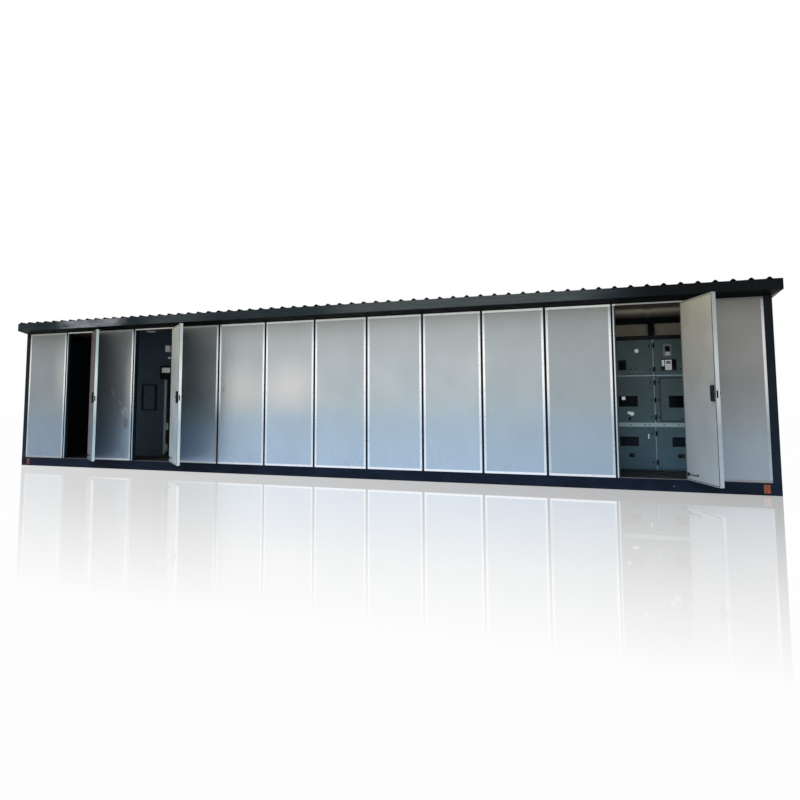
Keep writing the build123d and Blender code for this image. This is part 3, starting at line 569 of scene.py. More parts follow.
def outer_face(s):
    """1 on the outer face of each leaf as it stands open, 0 on its inner face."""
    total = 0.0
    for number, (_, b) in enumerate(doorway_limits(), 1):
        turn = math.radians(DOOR_OPEN[number])
        hinge_x, hinge_y = hinge_axis(b)
        # Distance from the hinge axis across the leaf: small outside, large inside
        along_x = s.times(s.minus(s.x, hinge_x), -math.sin(turn))
        along_y = s.times(s.minus(s.y, hinge_y), math.cos(turn))
        outside = s.range(s.plus(along_x, along_y), 0.02, 0.04, 1.0, 0.0)
        here = s.inside(s.x, hinge_x - 0.1, hinge_x + 0.9)
        total = s.plus(s.times(outside, here), total)
    return total


def door_skin():
    """Pale grey skin of the leaves, bluer low down as a painted reflection and warmer at the top; outside
    painted like the wall; the narrow leaf is painted darker inside as painted shade.
    """
    s = Shader("door_skin", 0.4, 0.3)
    # Bluer low down: painted reflection
    base = s.by_height([
        (0.2, (172, 186, 198)),
        (1.0, (178, 188, 196)),
        (1.7, (180, 182, 180)),
        (3.02, (192, 188, 168)),
    ])
    # Painted shade inside the narrow leaf, darkest at the top
    narrow_leaf_shade = s.by_height([(0.2, (166, 164, 174)), (1.2, (168, 152, 164)), (3.02, (124, 108, 116))])
    # Outer faces take the wall's painted reflection and painted shade by height
    wall = s.by_height([(0.2, (148, 168, 187)), (1.5, (154, 163, 168)), (3.02, (147, 153, 154))])
    tone = s.mix(s.range(s.x, -4.9, -4.7, 1.0, 0.0), base, s.tint(base, narrow_leaf_shade))
    second = s.inside(s.x, -3.6, -2.6, 0.05)
    tone = s.mix(s.times(second, 0.22), tone, srgb(196, 222, 230))
    tone = s.mix(outer_face(s), tone, wall)
    tone = s.vary(tone, s.noise(1.4, 4.0, 0.6), 0.95, 1.03)
    s.color(s.specks(tone, s.noise(18.0, 6.0, 0.7), 0.62, 0.8, 0.3, (104, 106, 108)))
    s.roughness(3.0, 0.34, 0.48)
    s.grain(150.0, 0.12, 0.0006)
    return s.material


def cubicle_paint():
    """Slate grey powder coat of the switchgear with fine texture."""
    s = Shader("cubicle_paint", 0.45, 0.0, 0.3)
    base = s.by_height([
        (0.19, (94, 134, 160)),
        (0.9, (92, 126, 142)),
        (1.6, (90, 116, 120)),
        (2.6, (98, 120, 120)),
    ])
    s.color(s.vary(base, s.noise(3.0, 4.0, 0.6), 0.9, 1.08))
    s.roughness(7.0, 0.4, 0.52, 3.0)
    s.grain(420.0, 0.18, 0.0004)
    return s.material


def simple_paint(name, tone, roughness=0.5, variation=0.12, metallic=0.0, specular=0.3, painted_light=0.0):
    """Paint or plastic with slight colour change, rubbed spots and fine grain; its last argument makes it
    give off light of its own colour, a painted light though it is no lamp.
    """
    s = Shader(name, roughness, metallic, specular)
    base = srgb(*tone)
    s.color(s.shades(s.noise(7.0, 5.0, 0.6), base, 1 - variation, 1 + variation))
    s.roughness(13.0, roughness - 0.06, roughness + 0.08)
    s.grain(300.0, 0.12, 0.0004)
    # Painted light: the colour also gives off light at the given strength, though it is no lamp
    s.surface.inputs["Emission Color"].default_value = base
    s.surface.inputs["Emission Strength"].default_value = painted_light
    return s.material


def ceiling_paint():
    """Taupe ceiling boards with faint joints across the room."""
    boards_start = 1.38
    boards_per_metre = 1.45
    s = Shader("ceiling", 0.6, 0.0, 0.2)
    tone = s.shades(s.noise(1.2, 5.0, 0.6), srgb(112, 107, 97), 0.8, 1.15)
    turn = s.math("FRACT", s.times(s.plus(s.y, boards_start), boards_per_metre))
    joint = s.inside(turn, 0.0, 0.02, 0.006)
    s.color(s.mix(s.times(joint, 0.5), tone, srgb(40, 38, 34)))
    s.grain(120.0, 0.12, 0.0006)
    return s.material


def marker_paint():
    """Worn orange plates: blotchy, browner in places, darker at the left corner."""
    s = Shader("marker_orange", 0.5, 0.0, 0.3)
    blotches = s.noise(46.0, 5.0, 0.6)
    stops = [(0.36, srgb(70, 40, 34)), (0.5, srgb(138, 74, 48)), (0.66, srgb(178, 98, 62))]
    along = s.range(s.x, -7.0, 7.0, 0.55, 1.0)
    s.color(s.tint(s.ramp(blotches, stops), s.grays(along, [(0.0, 0.0), (1.0, 1.0)])))
    s.roughness(30.0, 0.42, 0.6)
    s.bump(blotches, 0.2, 0.0006)
    return s.material


def dark_glass():
    """Dark window pane, polished, with a bluer painted reflection on the lower windows and faint clouding
    behind it.
    """
    s = Shader("dark_glass", 0.2, 0.0, 0.05)
    # Painted reflection: the lower windows are bluer
    tone = s.mix(s.range(s.z, 0.8, 1.2), srgb(24, 38, 54), srgb(6, 14, 20))
    s.color(s.vary(tone, s.noise(9.0, 4.0, 0.6), 0.7, 1.4))
    s.roughness(20.0, 0.16, 0.26)
    return s.material


def make_camera():
    data = bpy.data.cameras.new("camera")
    data.lens = CAMERA_LENS
    data.sensor_width = 36.0
    data.shift_x, data.shift_y = CAMERA_SHIFT
    data.clip_end = 200.0
    camera = bpy.data.objects.new("camera", data)
    bpy.context.scene.collection.objects.link(camera)
    turn = Matrix.Rotation(math.radians(CAMERA_YAW), 4, "Z")
    turn = turn @ Matrix.Rotation(math.radians(CAMERA_PITCH), 4, "X")
    turn = turn @ Matrix.Rotation(math.radians(CAMERA_ROLL), 4, "Y")
    look_along_y = Matrix.Rotation(math.radians(90), 4, "X")
    camera.matrix_world = Matrix.Translation(CAMERA_PLACE) @ turn @ look_along_y
    bpy.context.scene.camera = camera


class Piece:
    """A mesh under construction, with one or more materials, and the x and y of the face it is on."""

    def __init__(self, name, body, slot, *materials, face=(0.0, 0.0)):
        self.name = name
        self.body = body
        self.slot = slot
        self.materials = materials
        self.face = face
        self.mesh = bmesh.new()

    def box(self, low, high, bevel=0.0, material=0, matrix=None, segments=2):
        """Box between two corners, with rounded edges where bevel is over 0."""
        size = [high[i] - low[i] for i in range(3)]
        centre = [(high[i] + low[i]) / 2 for i in range(3)]
        shape = Matrix.Translation(centre) @ Matrix.Diagonal((*size, 1.0))
        verts = bmesh.ops.create_cube(self.mesh, size=1.0, matrix=shape)["verts"]
        if bevel:
            edges = list({e for v in verts for e in v.link_edges})
            done = bmesh.ops.bevel(self.mesh, geom=edges, offset=bevel, segments=segments,
                                   affect="EDGES", profile=0.5, clamp_overlap=True)
            verts = list({v for f in done["faces"] for v in f.verts})
        for face in {f for v in verts for f in v.link_faces}:
            face.material_index = material
        if matrix:
            bmesh.ops.transform(self.mesh, matrix=matrix, verts=verts)

    def lathe(self, centre, axis, profile, segments=16, material=0, smooth=True):
        """Turned shape: profile holds (distance along the axis, radius) from foot to top."""
        axis = Vector(axis).normalized()
        side = axis.orthogonal().normalized()
        other = axis.cross(side)
        centre = Vector(centre)
        rings = []
        for along, radius in profile:
            if radius <= 0.0:
                rings.append([self.mesh.verts.new(centre + axis * along)])
                continue
            ring = []
            for i in range(segments):
                angle = 2 * math.pi * i / segments
                out = side * math.cos(angle) + other * math.sin(angle)
                ring.append(self.mesh.verts.new(centre + axis * along + out * radius))
            rings.append(ring)
        for lower, upper in zip(rings, rings[1:]):
            for i in range(segments):
                j = (i + 1) % segments
                if len(lower) == 1:
                    loop = (lower[0], upper[j], upper[i])
                elif len(upper) == 1:
                    loop = (lower[i], lower[j], upper[0])
                else:
                    loop = (lower[i], lower[j], upper[j], upper[i])
                face = self.mesh.faces.new(loop)
                face.material_index = material
                face.smooth = smooth

    def dome_screw(self, centre, axis, radius, height):
        """Domed screw or rivet head with a drive recess."""
        profile = [
            (0.0, radius),
            (height * 0.35, radius),
            (height * 0.8, radius * 0.72),
            (height, radius * 0.4),
            (height * 0.7, radius * 0.3),
            (height * 0.7, 0.0),
        ]
        self.lathe(centre, axis, profile, 10)

    def plate(self, left, right, low, high, out, inner=0.0, bevel=0.0, material=0):
        """Box in front of the piece's face, from inner to out away from it."""
        x, y = self.face
        self.box((x + left, y - out, low), (x + right, y - inner, high), bevel, material)

    def ring(self, left, right, low, high, out, inner, width, bevel, material=0):
        """Rectangular frame in front of the piece's face."""
        depth = (out, inner, bevel, material)
        self.plate(left, right, low, low + width, *depth)
        self.plate(left, right, high - width, high, *depth)
        self.plate(left, left + width, low + width, high - width, *depth)
        self.plate(right - width, right, low + width, high - width, *depth)

    def turned(self, left, z, profile, segments=16, material=0, start=0.0):
        """Turned shape that stands out from the piece's face."""
        x, y = self.face
        self.lathe((x + left, y - start, z), OUT, profile, segments, material)

    def finish(self, *replaces, matrix=None):
        """Makes the object, lets it ride on its body and hides the CAD parts it replaces."""
        if matrix:
            bmesh.ops.transform(self.mesh, matrix=matrix, verts=self.mesh.verts)
        bmesh.ops.recalc_face_normals(self.mesh, faces=self.mesh.faces)
        data = bpy.data.meshes.new(self.name)
        self.mesh.to_mesh(data)
        self.mesh.free()
        for material in self.materials:
            data.materials.append(material)
        obj = bpy.data.objects.new(self.name, data)
        bpy.context.scene.collection.objects.link(obj)
        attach(obj, self.body)
        if replaces:
            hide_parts(*replaces)


def panel_limits(spans, low, high):
    """Edges of the panels of one side, from the spans between its joints."""
    limits = []
    for a, b in spans:
        a += POST_GAP if abs(a - low) < 1e-6 else HALF_JOINT
        b -= POST_GAP if abs(b - high) < 1e-6 else HALF_JOINT
        limits.append((a, b))
    return limits


def even_spans(low, high, count):
    step = (high - low) / count
    return [(low + i * step, low + (i + 1) * step) for i in range(count)]


def trim_screws(piece, a, b, bottom, top, place):
    """Screws along the edge trim of one panel, given by a function from (x, z) to a point."""
    radius = 0.0065
    height = 0.003
    rows = 7
    end = 0.07
    inset = TRIM_WIDTH / 2
    step = (top - bottom - 2 * end) / (rows - 1)
    for x in (a + inset, b - inset):
        for i in range(rows):
            piece.dome_screw(*place(x, bottom + end + i * step), radius, height)
    for z in (bottom + inset, top - inset):
        for share in (0.33, 0.67):
            piece.dome_screw(*place(a + (b - a) * share, z), radius, height)


def wall_screws(steel):
    """Screws in the trims of all four walls."""
    piece = Piece("wall_trim_screws", "enclosure", "edge_trim", steel)
    end = HALF_LENGTH - POST
    fixed = [(a, b) for kind, a, b in bay_edges() if kind == "P"]
    y = REAR + TRIM_THICKNESS
    for a, b in panel_limits(fixed, -end, end):
        trim_screws(piece, a, b, FLOOR, PANEL_TOP, lambda x, z: ((x, -y, z), OUT))
    for a, b in panel_limits(even_spans(-end, end, REAR_BAYS), -end, end):
        trim_screws(piece, a, b, FLOOR, PANEL_TOP, lambda x, z: ((-x, y, z), IN))
    end = REAR - POST
    side = HALF_LENGTH + TRIM_THICKNESS
    for a, b in panel_limits(even_spans(-end, end, END_BAYS), -end, end):
        trim_screws(piece, a, b, FLOOR, PANEL_TOP, lambda x, z: ((side, x, z), (1, 0, 0)))
        trim_screws(piece, a, b, FLOOR, PANEL_TOP, lambda x, z: ((-side, -x, z), (-1, 0, 0)))
    piece.finish()


def leaf_matrix(number, b):
    """Turns a piece drawn on the shut leaf to the photograph's open place."""
    axis = Vector((*hinge_axis(b), 0.0))
    turn = Matrix.Rotation(math.radians(DOOR_OPEN[number]), 4, "Z")
    return Matrix.Translation(axis) @ turn @ Matrix.Translation(-axis)


def door_details(number, a, b, steel, dark, rubber):
    """Screws, latch plate and gasket of one leaf, drawn shut and turned open."""
    matrix = leaf_matrix(number, b)
    body = f"door_{number}"
    x0, x1 = leaf_span(a, b)
    back = FRONT + DOOR_THICKNESS
    lock = x0 + TRIM_WIDTH + LOCK_FROM_EDGE

    screws = Piece(f"door_{number}_screws", body, "edge_trim", steel)
    trim_screws(screws, x0, x1, LEAF_BOTTOM, LEAF_TOP,
                lambda x, z: ((x, FRONT - TRIM_THICKNESS, z), OUT))
    for z in (LOCK_HEIGHT - 0.1, LOCK_HEIGHT + 0.1):
        for dx in (-0.02, 0.02):
            screws.dome_screw((lock + dx, back + LOCK_DEPTH, z), IN, 0.005, 0.002)
    for z in (LOCK_HEIGHT - 0.078, LOCK_HEIGHT + 0.078):
        screws.dome_screw((lock, FRONT - 0.006, z), OUT, 0.005, 0.002)
    screws.finish(matrix=matrix)

    latch = Piece(f"door_{number}_latch", body, "lock_black", dark)
    proud = 0.0018
    latch.box((x0 - proud, FRONT + DOOR_THICKNESS / 2 - 0.002, LOCK_HEIGHT - 0.070),
              (x0 + 0.001, back - 0.005, LOCK_HEIGHT + 0.040), 0.0008)
    latch.finish(matrix=matrix)

    seal = Piece(f"door_{number}_gasket", body, "lock_black", rubber)
    inset = 0.012
    wide = 0.008
    thick = 0.004
    bevel = 0.0012
    left = x0 + inset
    right = x1 - inset
    low = LEAF_BOTTOM + inset
    high = LEAF_TOP - inset
    for x in (left, right - wide):
        seal.box((x, back, low), (x + wide, back + thick, high), bevel)
    for z in (low, high - wide):
        seal.box((left + wide, back, z), (right - wide, back + thick, z + wide), bevel)
    seal.finish(matrix=matrix)


def door_lever(number, a, b, dark, steel):
    """Outer lever with a rounded, returned grip, spindle and inner thumb turn."""
    lock = leaf_span(a, b)[0] + TRIM_WIDTH + LOCK_FROM_EDGE
    back = FRONT + DOOR_THICKNESS + LOCK_DEPTH + 0.001
    z = LOCK_HEIGHT
    grip = FRONT - 0.044
    foot = (lock, FRONT - 0.007, z)
    piece = Piece(f"door_{number}_lever_piece", f"door_{number}_lever", "lock_black", dark, steel)
    hub = [(0.0, 0.013), (0.004, 0.014), (0.012, 0.0125), (0.036, 0.0105), (0.044, 0.0105), (0.047, 0.0)]
    piece.lathe(foot, OUT, hub, 20)
    piece.lathe(foot, IN, [(0.0, 0.0078), (back - FRONT + 0.008, 0.0078)], 14, 1)
    piece.box((lock - 0.0098, grip - 0.0085, z - 0.0098), (lock + 0.118, grip + 0.0085, z + 0.0098),
              0.0065, segments=4)
    piece.box((lock + 0.1005, grip - 0.004, z - 0.009), (lock + 0.1175, grip + 0.030, z + 0.009),
              0.006, segments=3)
    knob = [(0.0, 0.0138), (0.009, 0.0138), (0.0125, 0.012), (0.014, 0.008), (0.014, 0.0)]
    piece.lathe((lock, back, z), IN, knob, 24)
    piece.box((lock - 0.0035, back + 0.004, z - 0.0125), (lock + 0.0035, back + 0.0139, z + 0.0125),
              0.0015)
    piece.finish(f"door_{number}_lever", matrix=leaf_matrix(number, b))


def doorway_details(steel, rubber):
    """Threshold strips and the rubber stops inside the doorways."""
    strips = Piece("doorway_thresholds", "enclosure", "hinge_steel", steel)
    stops = Piece("doorway_stops", "enclosure", "lock_black", rubber)
    thick = 0.004
    front = FRONT + 0.0545
    back = FRONT + 0.060
    top = PANEL_TOP - LINING_HEIGHT
    for a, b in doorway_limits():
        x0 = a + DOORWAY_EDGE + LINING_WIDTH
        x1 = b - DOORWAY_EDGE
        strips.box((x0, FRONT + 0.002, FLOOR), (x1, FRONT + 0.046, FLOOR + 0.003), 0.001)
        strips.box((x0, FRONT + 0.050, FLOOR), (x1, FRONT + 0.062, FLOOR + 0.006), 0.001)
        stops.box((x0, front, FLOOR + 0.006), (x0 + thick, back, top))
        stops.box((x0, front, top - thick), (x1, back, top))
    strips.finish()
    stops.finish()


def roof_screws(steel, rubber):
    """Screws with sealing washers beside the ribs, over each purlin."""
    piece = Piece("roof_screws", "enclosure", "hinge_steel", steel, rubber)
    slope = math.radians(ROOF_FALL)
    up = Vector((0, math.sin(slope), math.cos(slope)))
    x = ROOF_RIGHT - FIRST_RIB + BESIDE_RIB
    while x > ROOF_LEFT + BESIDE_RIB:
        for y in PURLINS:
            z = ROOF_FRONT_HEIGHT - (y - ROOF_FRONT) * math.tan(slope) + 0.003
            piece.lathe((x, y, z), up, [(-0.0004, 0.0095), (0.0012, 0.0095), (0.0016, 0.005)], 10, 1)
            piece.lathe((x, y, z), up, [(0.0012, 0.0052), (0.0045, 0.0048), (0.0050, 0.0)], 6)
        x -= RIB_PITCH
    piece.finish()


def fascia_details(steel):
    """Rivets and lap joints of the eaves sheet."""
    rivets = Piece("fascia_rivets", "enclosure", "fascia_steel", steel)
    spaces = 32
    inset = 0.06
    for i in range(spaces + 1):
        x = ROOF_LEFT + inset + i * (ROOF_RIGHT - ROOF_LEFT - 2 * inset) / spaces
        rivets.dome_screw((x, ROOF_FRONT, FASCIA_TOP - 0.023), OUT, 0.005, 0.002)
    rivets.finish()
    laps = Piece("fascia_laps", "enclosure", "fascia_steel", steel)
    half = 0.05
    for x in FASCIA_LAPS:
        laps.box((x - half, ROOF_FRONT - 0.0012, FASCIA_BOTTOM),
                 (x + half, ROOF_FRONT + 0.001, FASCIA_TOP), 0.0005)
    laps.finish()


def base_details(steel, dark, worn, paint):
    """Plugged hole, bolt, rivets of the bare plates and the plates that close the beam ends."""
    piece = Piece("base_fittings", "enclosure", "base_steel", dark, worn)
    plug = [(0.0, 0.021), (0.0025, 0.020), (0.0025, 0.014), (0.0006, 0.012), (0.0006, 0.0)]
    piece.lathe((2.16, FRONT, 0.098), OUT, plug, 24)
    bolt = [(0.0, 0.013), (0.006, 0.013), (0.008, 0.010), (0.008, 0.0)]
    piece.lathe((6.26, FRONT, 0.085), OUT, bolt, 6, 1, False)
    piece.finish()

    rivets = Piece("marker_rivets", "enclosure", "marker_orange", steel)
    low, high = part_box("marker_plates")
    plate_width = 0.088
    inset = 0.012
    for x0 in (low[0], high[0] - plate_width):
        for x in (x0 + inset, x0 + plate_width - inset):
            for z in (low[2] + inset, high[2] - inset):
                rivets.dome_screw((x, FRONT - 0.003, z), OUT, 0.004, 0.002)
    rivets.finish()

    closers = Piece("base_end_plates", "enclosure", "base_steel", paint)
    thick = 0.006
    sunk = 0.0005
    for x0 in (-HALF_LENGTH + sunk, HALF_LENGTH - thick - sunk):
        for y0, y1 in ((FRONT + BEAM_WEB, FRONT + BEAM_FLANGE), (REAR - BEAM_FLANGE, REAR - BEAM_WEB)):
            closers.box((x0, y0, BEAM_WEB), (x0 + thick, y1, FLOOR - BEAM_WEB), 0.0015)
    closers.finish()


def cubicle_windows(rubber, glass):
    """Viewing windows: dark glass in thin black frames."""
    piece = Piece("cubicle_window_pieces", "enclosure", "dark_plastic", glass, rubber, face=CUBICLES)
    lip = 0.008
    windows = (
        (-0.620, -0.298, 0.614, 0.785),
        (-0.620, -0.290, 1.332, 1.529),
        (0.270, 0.640, 0.614, 0.785),
        (0.238, 0.638, 1.312, 1.529),
    )
    for left, right, low, high in windows:
        piece.plate(left + lip, right - lip, low + lip, high - lip, 0.003)
        piece.ring(left, right, low, high, 0.006, 0.0, 0.011, 0.0018, 1)
    piece.finish("cubicle_windows")


def cubicle_instruments(*materials):
    """Meter, side box, display frame and protection relay on the upper doors."""
    piece = Piece("cubicle_instrument_pieces", "enclosure", "instrument_grey", *materials, face=CUBICLES)
    # Round meter on a square base, with its pointer
    left = -0.281
    z = 2.357
    dial = [(0.0, 0.036), (0.022, 0.035), (0.027, 0.031), (0.0275, 0.028), (0.024, 0.0275), (0.024, 0.0)]
    piece.plate(-0.318, -0.244, 2.312, 2.402, 0.012, 0.0, 0.003, GREY)
    piece.turned(left, z, dial, 28, LIGHT, 0.012)
    x = SEAM + left
    y = CUBICLE_FACE - 0.0385
    lean = Matrix.Translation((x, 0, z)) @ Matrix.Rotation(0.6, 4, "Y") @ Matrix.Translation((-x, 0, -z))
    piece.box((x - 0.0012, y, z - 0.004), (x + 0.0012, y + 0.002, z + 0.022), 0.0, DARK, lean)
    # Dark side box
    piece.plate(-0.600, -0.467, 2.005, 2.186, 0.030, 0.0, 0.004, DARK)
    piece.plate(-0.580, -0.487, 2.030, 2.160, 0.0312, 0.029, 0.002, GLASS)
    # Display in a pale outlined frame, over three keys
    piece.plate(0.182, 0.312, 2.251, 2.459, 0.006, 0.0, 0.002, GREY)
    piece.ring(0.182, 0.312, 2.251, 2.459, 0.010, 0.005, 0.008, 0.0015, STEEL)
    piece.plate(0.208, 0.291, 2.337, 2.428, 0.022, 0.005, 0.003, DARK)
    piece.plate(0.218, 0.281, 2.352, 2.414, 0.0232, 0.0215, 0.001, GLASS)
    for z in (2.275, 2.293, 2.311):
        piece.plate(0.212, 0.288, z, z + 0.007, 0.0085, 0.0055, 0.0008, LIGHT)
    # Protection relay with its keypad, side modules, right-hand window and terminals
    piece.plate(0.128, 0.388, 1.981, 2.191, 0.016, 0.0, 0.003, DARK)
    piece.plate(0.200, 0.308, 1.997, 2.176, 0.040, 0.015, 0.004, LIGHT)
    piece.plate(0.212, 0.296, 2.100, 2.160, 0.0425, 0.039, 0.001, GREY)
    for row in range(3):
        for column in range(4):
            left = 0.213 + column * 0.0215
            z = 2.010 + row * 0.026
            piece.plate(left, left + 0.015, z, z + 0.016, 0.0435, 0.039, 0.0015, GREY)
    for low, high in ((2.140, 2.174), (2.100, 2.132), (2.068, 2.092)):
        piece.plate(0.142, 0.186, low, high, 0.034, 0.015, 0.002, LIGHT)
    piece.plate(0.320, 0.380, 2.045, 2.179, 0.038, 0.015, 0.003, DARK)
    piece.plate(0.327, 0.373, 2.056, 2.168, 0.0392, 0.0375, 0.001, GLASS)
    for i in range(7):
        left = 0.140 + i * 0.034
        piece.plate(left, left + 0.018, 1.985, 1.994, 0.022, 0.015, 0.001, GREY)
    piece.finish("cubicle_instruments")


def cubicle_small_parts(light, grey, dark):
    """Bare labels, a self-lit white square as painted glare on a window, lamps and marks on the compartment
    doors, and screws of the bands.
    """
    plates = Piece("cubicle_plates", "enclosure", "instrument_grey", light, grey, face=CUBICLES)
    for left, width in ((-0.408, 0.036), (-0.352, 0.032), (-0.308, 0.038), (-0.232, 0.044)):
        plates.plate(left, left + width, 1.961, 1.973, 0.002, 0.0, 0.0006, GREY)
    for left in (0.444, 0.515):
        plates.plate(left, left + 0.034, 1.967, 1.978, 0.002, 0.0, 0.0006, GREY)
    plates.plate(-0.134, -0.116, 0.748, 0.835, 0.002, 0.0, 0.0006)
    for left, z, wide in ((-0.450, 1.218, 0.026), (-0.398, 1.203, 0.036)):
        plates.turned(left, z, [(0.0, wide), (0.010, wide - 0.002), (0.012, wide - 0.006), (0.012, 0.0)], 24)
    plates.turned(-0.398, 1.208, [(0.0, 0.006), (0.002, 0.005), (0.002, 0.0)], 12, GREY, 0.012)
    # Self-lit white square on the left middle window: painted glare, a reflection of daylight
    plates.plate(-0.565, -0.505, 1.455, 1.515, 0.0082, 0.006, 0.002)
    plates.finish()

    marks = Piece("cubicle_lamps", "enclosure", "dark_plastic", dark, face=CUBICLES)
    for left, z in ((-0.390, 2.020), (-0.316, 2.020), (0.455, 2.013), (0.530, 2.012)):
        marks.turned(left, z, [(0.0, 0.012), (0.010, 0.011), (0.014, 0.007), (0.014, 0.0)])
    socket = [(0.0, 0.024), (0.006, 0.023), (0.006, 0.015), (0.002, 0.014), (0.002, 0.0)]
    marks.turned(-0.440, 1.114, socket, 20)
    marks.plate(0.420, 0.470, 1.098, 1.114, 0.006, 0.0, 0.002)
    marks.finish()

    screws = Piece("cubicle_screws", "enclosure", "cubicle_band", dark)
    for x in (5.865, 5.943, 6.186, 6.43, 5.62):
        screws.dome_screw((x, BAND_FACE, 1.003), OUT, 0.011, 0.004)
    inset = 0.030
    for left in (SEAM - CUBICLE_WIDTH, SEAM):
        for z in (0.250, 0.930, 1.075, 1.855, 1.945, 2.515):
            for x in (left + inset, left + CUBICLE_WIDTH - inset):
                screws.dome_screw((x, CUBICLE_FACE, z), OUT, 0.005, 0.002)
    screws.finish()


def cubicle_locks(dark, pale):
    """Quarter-turn locks and hinge blocks beside the seam, and the latches of the lower doors."""
    heights = (0.329, 0.849, 1.140, 1.452, 1.766, 2.010, 2.445)
    knob = [(0.0, 0.014), (0.014, 0.0138), (0.018, 0.012), (0.018, 0.008), (0.016, 0.007), (0.016, 0.0)]
    locks = Piece("cubicle_lock_pieces", "enclosure", "dark_plastic", dark, face=CUBICLES)
    for left, z in [(-0.060, z) for z in heights] + [(0.070, z) for z in heights[2:5]]:
        locks.turned(left, z, knob, 20)
        locks.plate(left - 0.002, left + 0.002, z - 0.010, z + 0.010, 0.022, 0.015, 0.0008)
    locks.finish("cubicle_knobs")

    blocks = Piece("cubicle_hinge_pieces", "enclosure", "dark_plastic", dark, face=CUBICLES)
    reach = 0.042
    pin = [(0.0, 0.0), (0.0, 0.008), (2 * reach, 0.008), (2 * reach, 0.0)]
    for z in heights:
        blocks.plate(-0.004, 0.030, z - reach, z - 0.001, 0.014, 0.0, 0.003)
        blocks.plate(-0.004, 0.030, z + 0.001, z + reach, 0.014, 0.0, 0.003)
        blocks.lathe((SEAM + 0.006, CUBICLE_FACE - 0.012, z - reach), (0, 0, 1), pin, 14)
    blocks.finish("cubicle_hinge_blocks")

    latches = Piece("cubicle_latch_pieces", "enclosure", "dark_plastic", dark, pale, face=CUBICLES)
    rim = 0.009
    for left, right, low, high in ((-0.468, -0.372, 0.412, 0.482), (0.355, 0.463, 0.416, 0.485)):
        latches.ring(left, right, low, high, 0.010, 0.0, rim, 0.002)
        latches.plate(left + rim, right - rim, low + rim, high - rim, 0.003, material=1)
        latches.plate(left + 0.014, left + 0.056, low + 0.020, high - 0.020, 0.024, 0.002, 0.003)
    latches.finish("cubicle_latches")


def screen_fittings(light, grey, dark):
    """Boxes on the screen in the middle doorway."""
    left = doorway_limits()[1][0]
    piece = Piece("screen_equipment_pieces", "enclosure", "instrument_grey", light, grey, dark,
                  face=(left, SCREEN_FACE))
    # Pale box with a lid
    piece.plate(-0.042, 0.091, 2.622, 2.776, 0.074, 0.0, 0.006, LIGHT)
    piece.plate(-0.036, 0.085, 2.628, 2.770, 0.090, 0.075, 0.006, LIGHT)
    # Small gauge
    piece.plate(0.008, 0.094, 2.457, 2.509, 0.020, 0.0, 0.003, GREY)
    gauge = [(0.0, 0.025), (0.036, 0.025), (0.042, 0.021), (0.040, 0.019), (0.040, 0.0)]
    piece.turned(0.051, 2.483, gauge, 24, LIGHT, 0.018)
    # Lamp unit in a dark frame
    piece.plate(-0.160, 0.145, 1.989, 2.292, 0.060, 0.0, 0.006, DARK)
    piece.ring(-0.160, 0.145, 1.989, 2.292, 0.100, 0.055, 0.020, 0.005, DARK)
    piece.plate(-0.118, 0.138, 2.130, 2.250, 0.092, 0.055, 0.012, LIGHT)
    piece.plate(-0.118, 0.120, 2.020, 2.100, 0.080, 0.055, 0.006, DARK)
    # Upright trunking with its cover
    piece.plate(-0.070, -0.010, 0.250, 1.970, 0.036, 0.0, 0.002, GREY)
    piece.plate(-0.067, -0.013, 0.253, 1.967, 0.040, 0.034, 0.002, GREY)
    # Dark duct beside the trunking, with two small sockets
    piece.plate(-0.005, 0.120, 0.210, 1.970, 0.024, 0.0, 0.003, DARK)
    piece.plate(0.002, 0.070, 0.800, 0.960, 0.050, 0.023, 0.006, GREY)
    piece.plate(-0.002, 0.060, 0.310, 0.470, 0.050, 0.023, 0.006, GREY)
    piece.finish("screen_equipment")


def ceiling_lamp(light, grey):
    """Round lamp with a grey rim and a domed pale cover."""
    low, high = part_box("ceiling_lamp")
    centre = ((low[0] + high[0]) / 2, (low[1] + high[1]) / 2, CEILING)
    rim = [(0.0, 0.125), (0.012, 0.125), (0.016, 0.120), (0.016, 0.112)]
    cover = [(0.012, 0.114), (0.020, 0.110), (0.032, 0.085), (0.038, 0.045), (0.040, 0.0)]
    lamp = Piece("ceiling_lamp_piece", "enclosure", "lamp", light, grey)
    lamp.lathe(centre, (0, 0, -1), rim, 40, GREY)
    lamp.lathe(centre, (0, 0, -1), cover, 40, LIGHT)
    lamp.finish("ceiling_lamp")


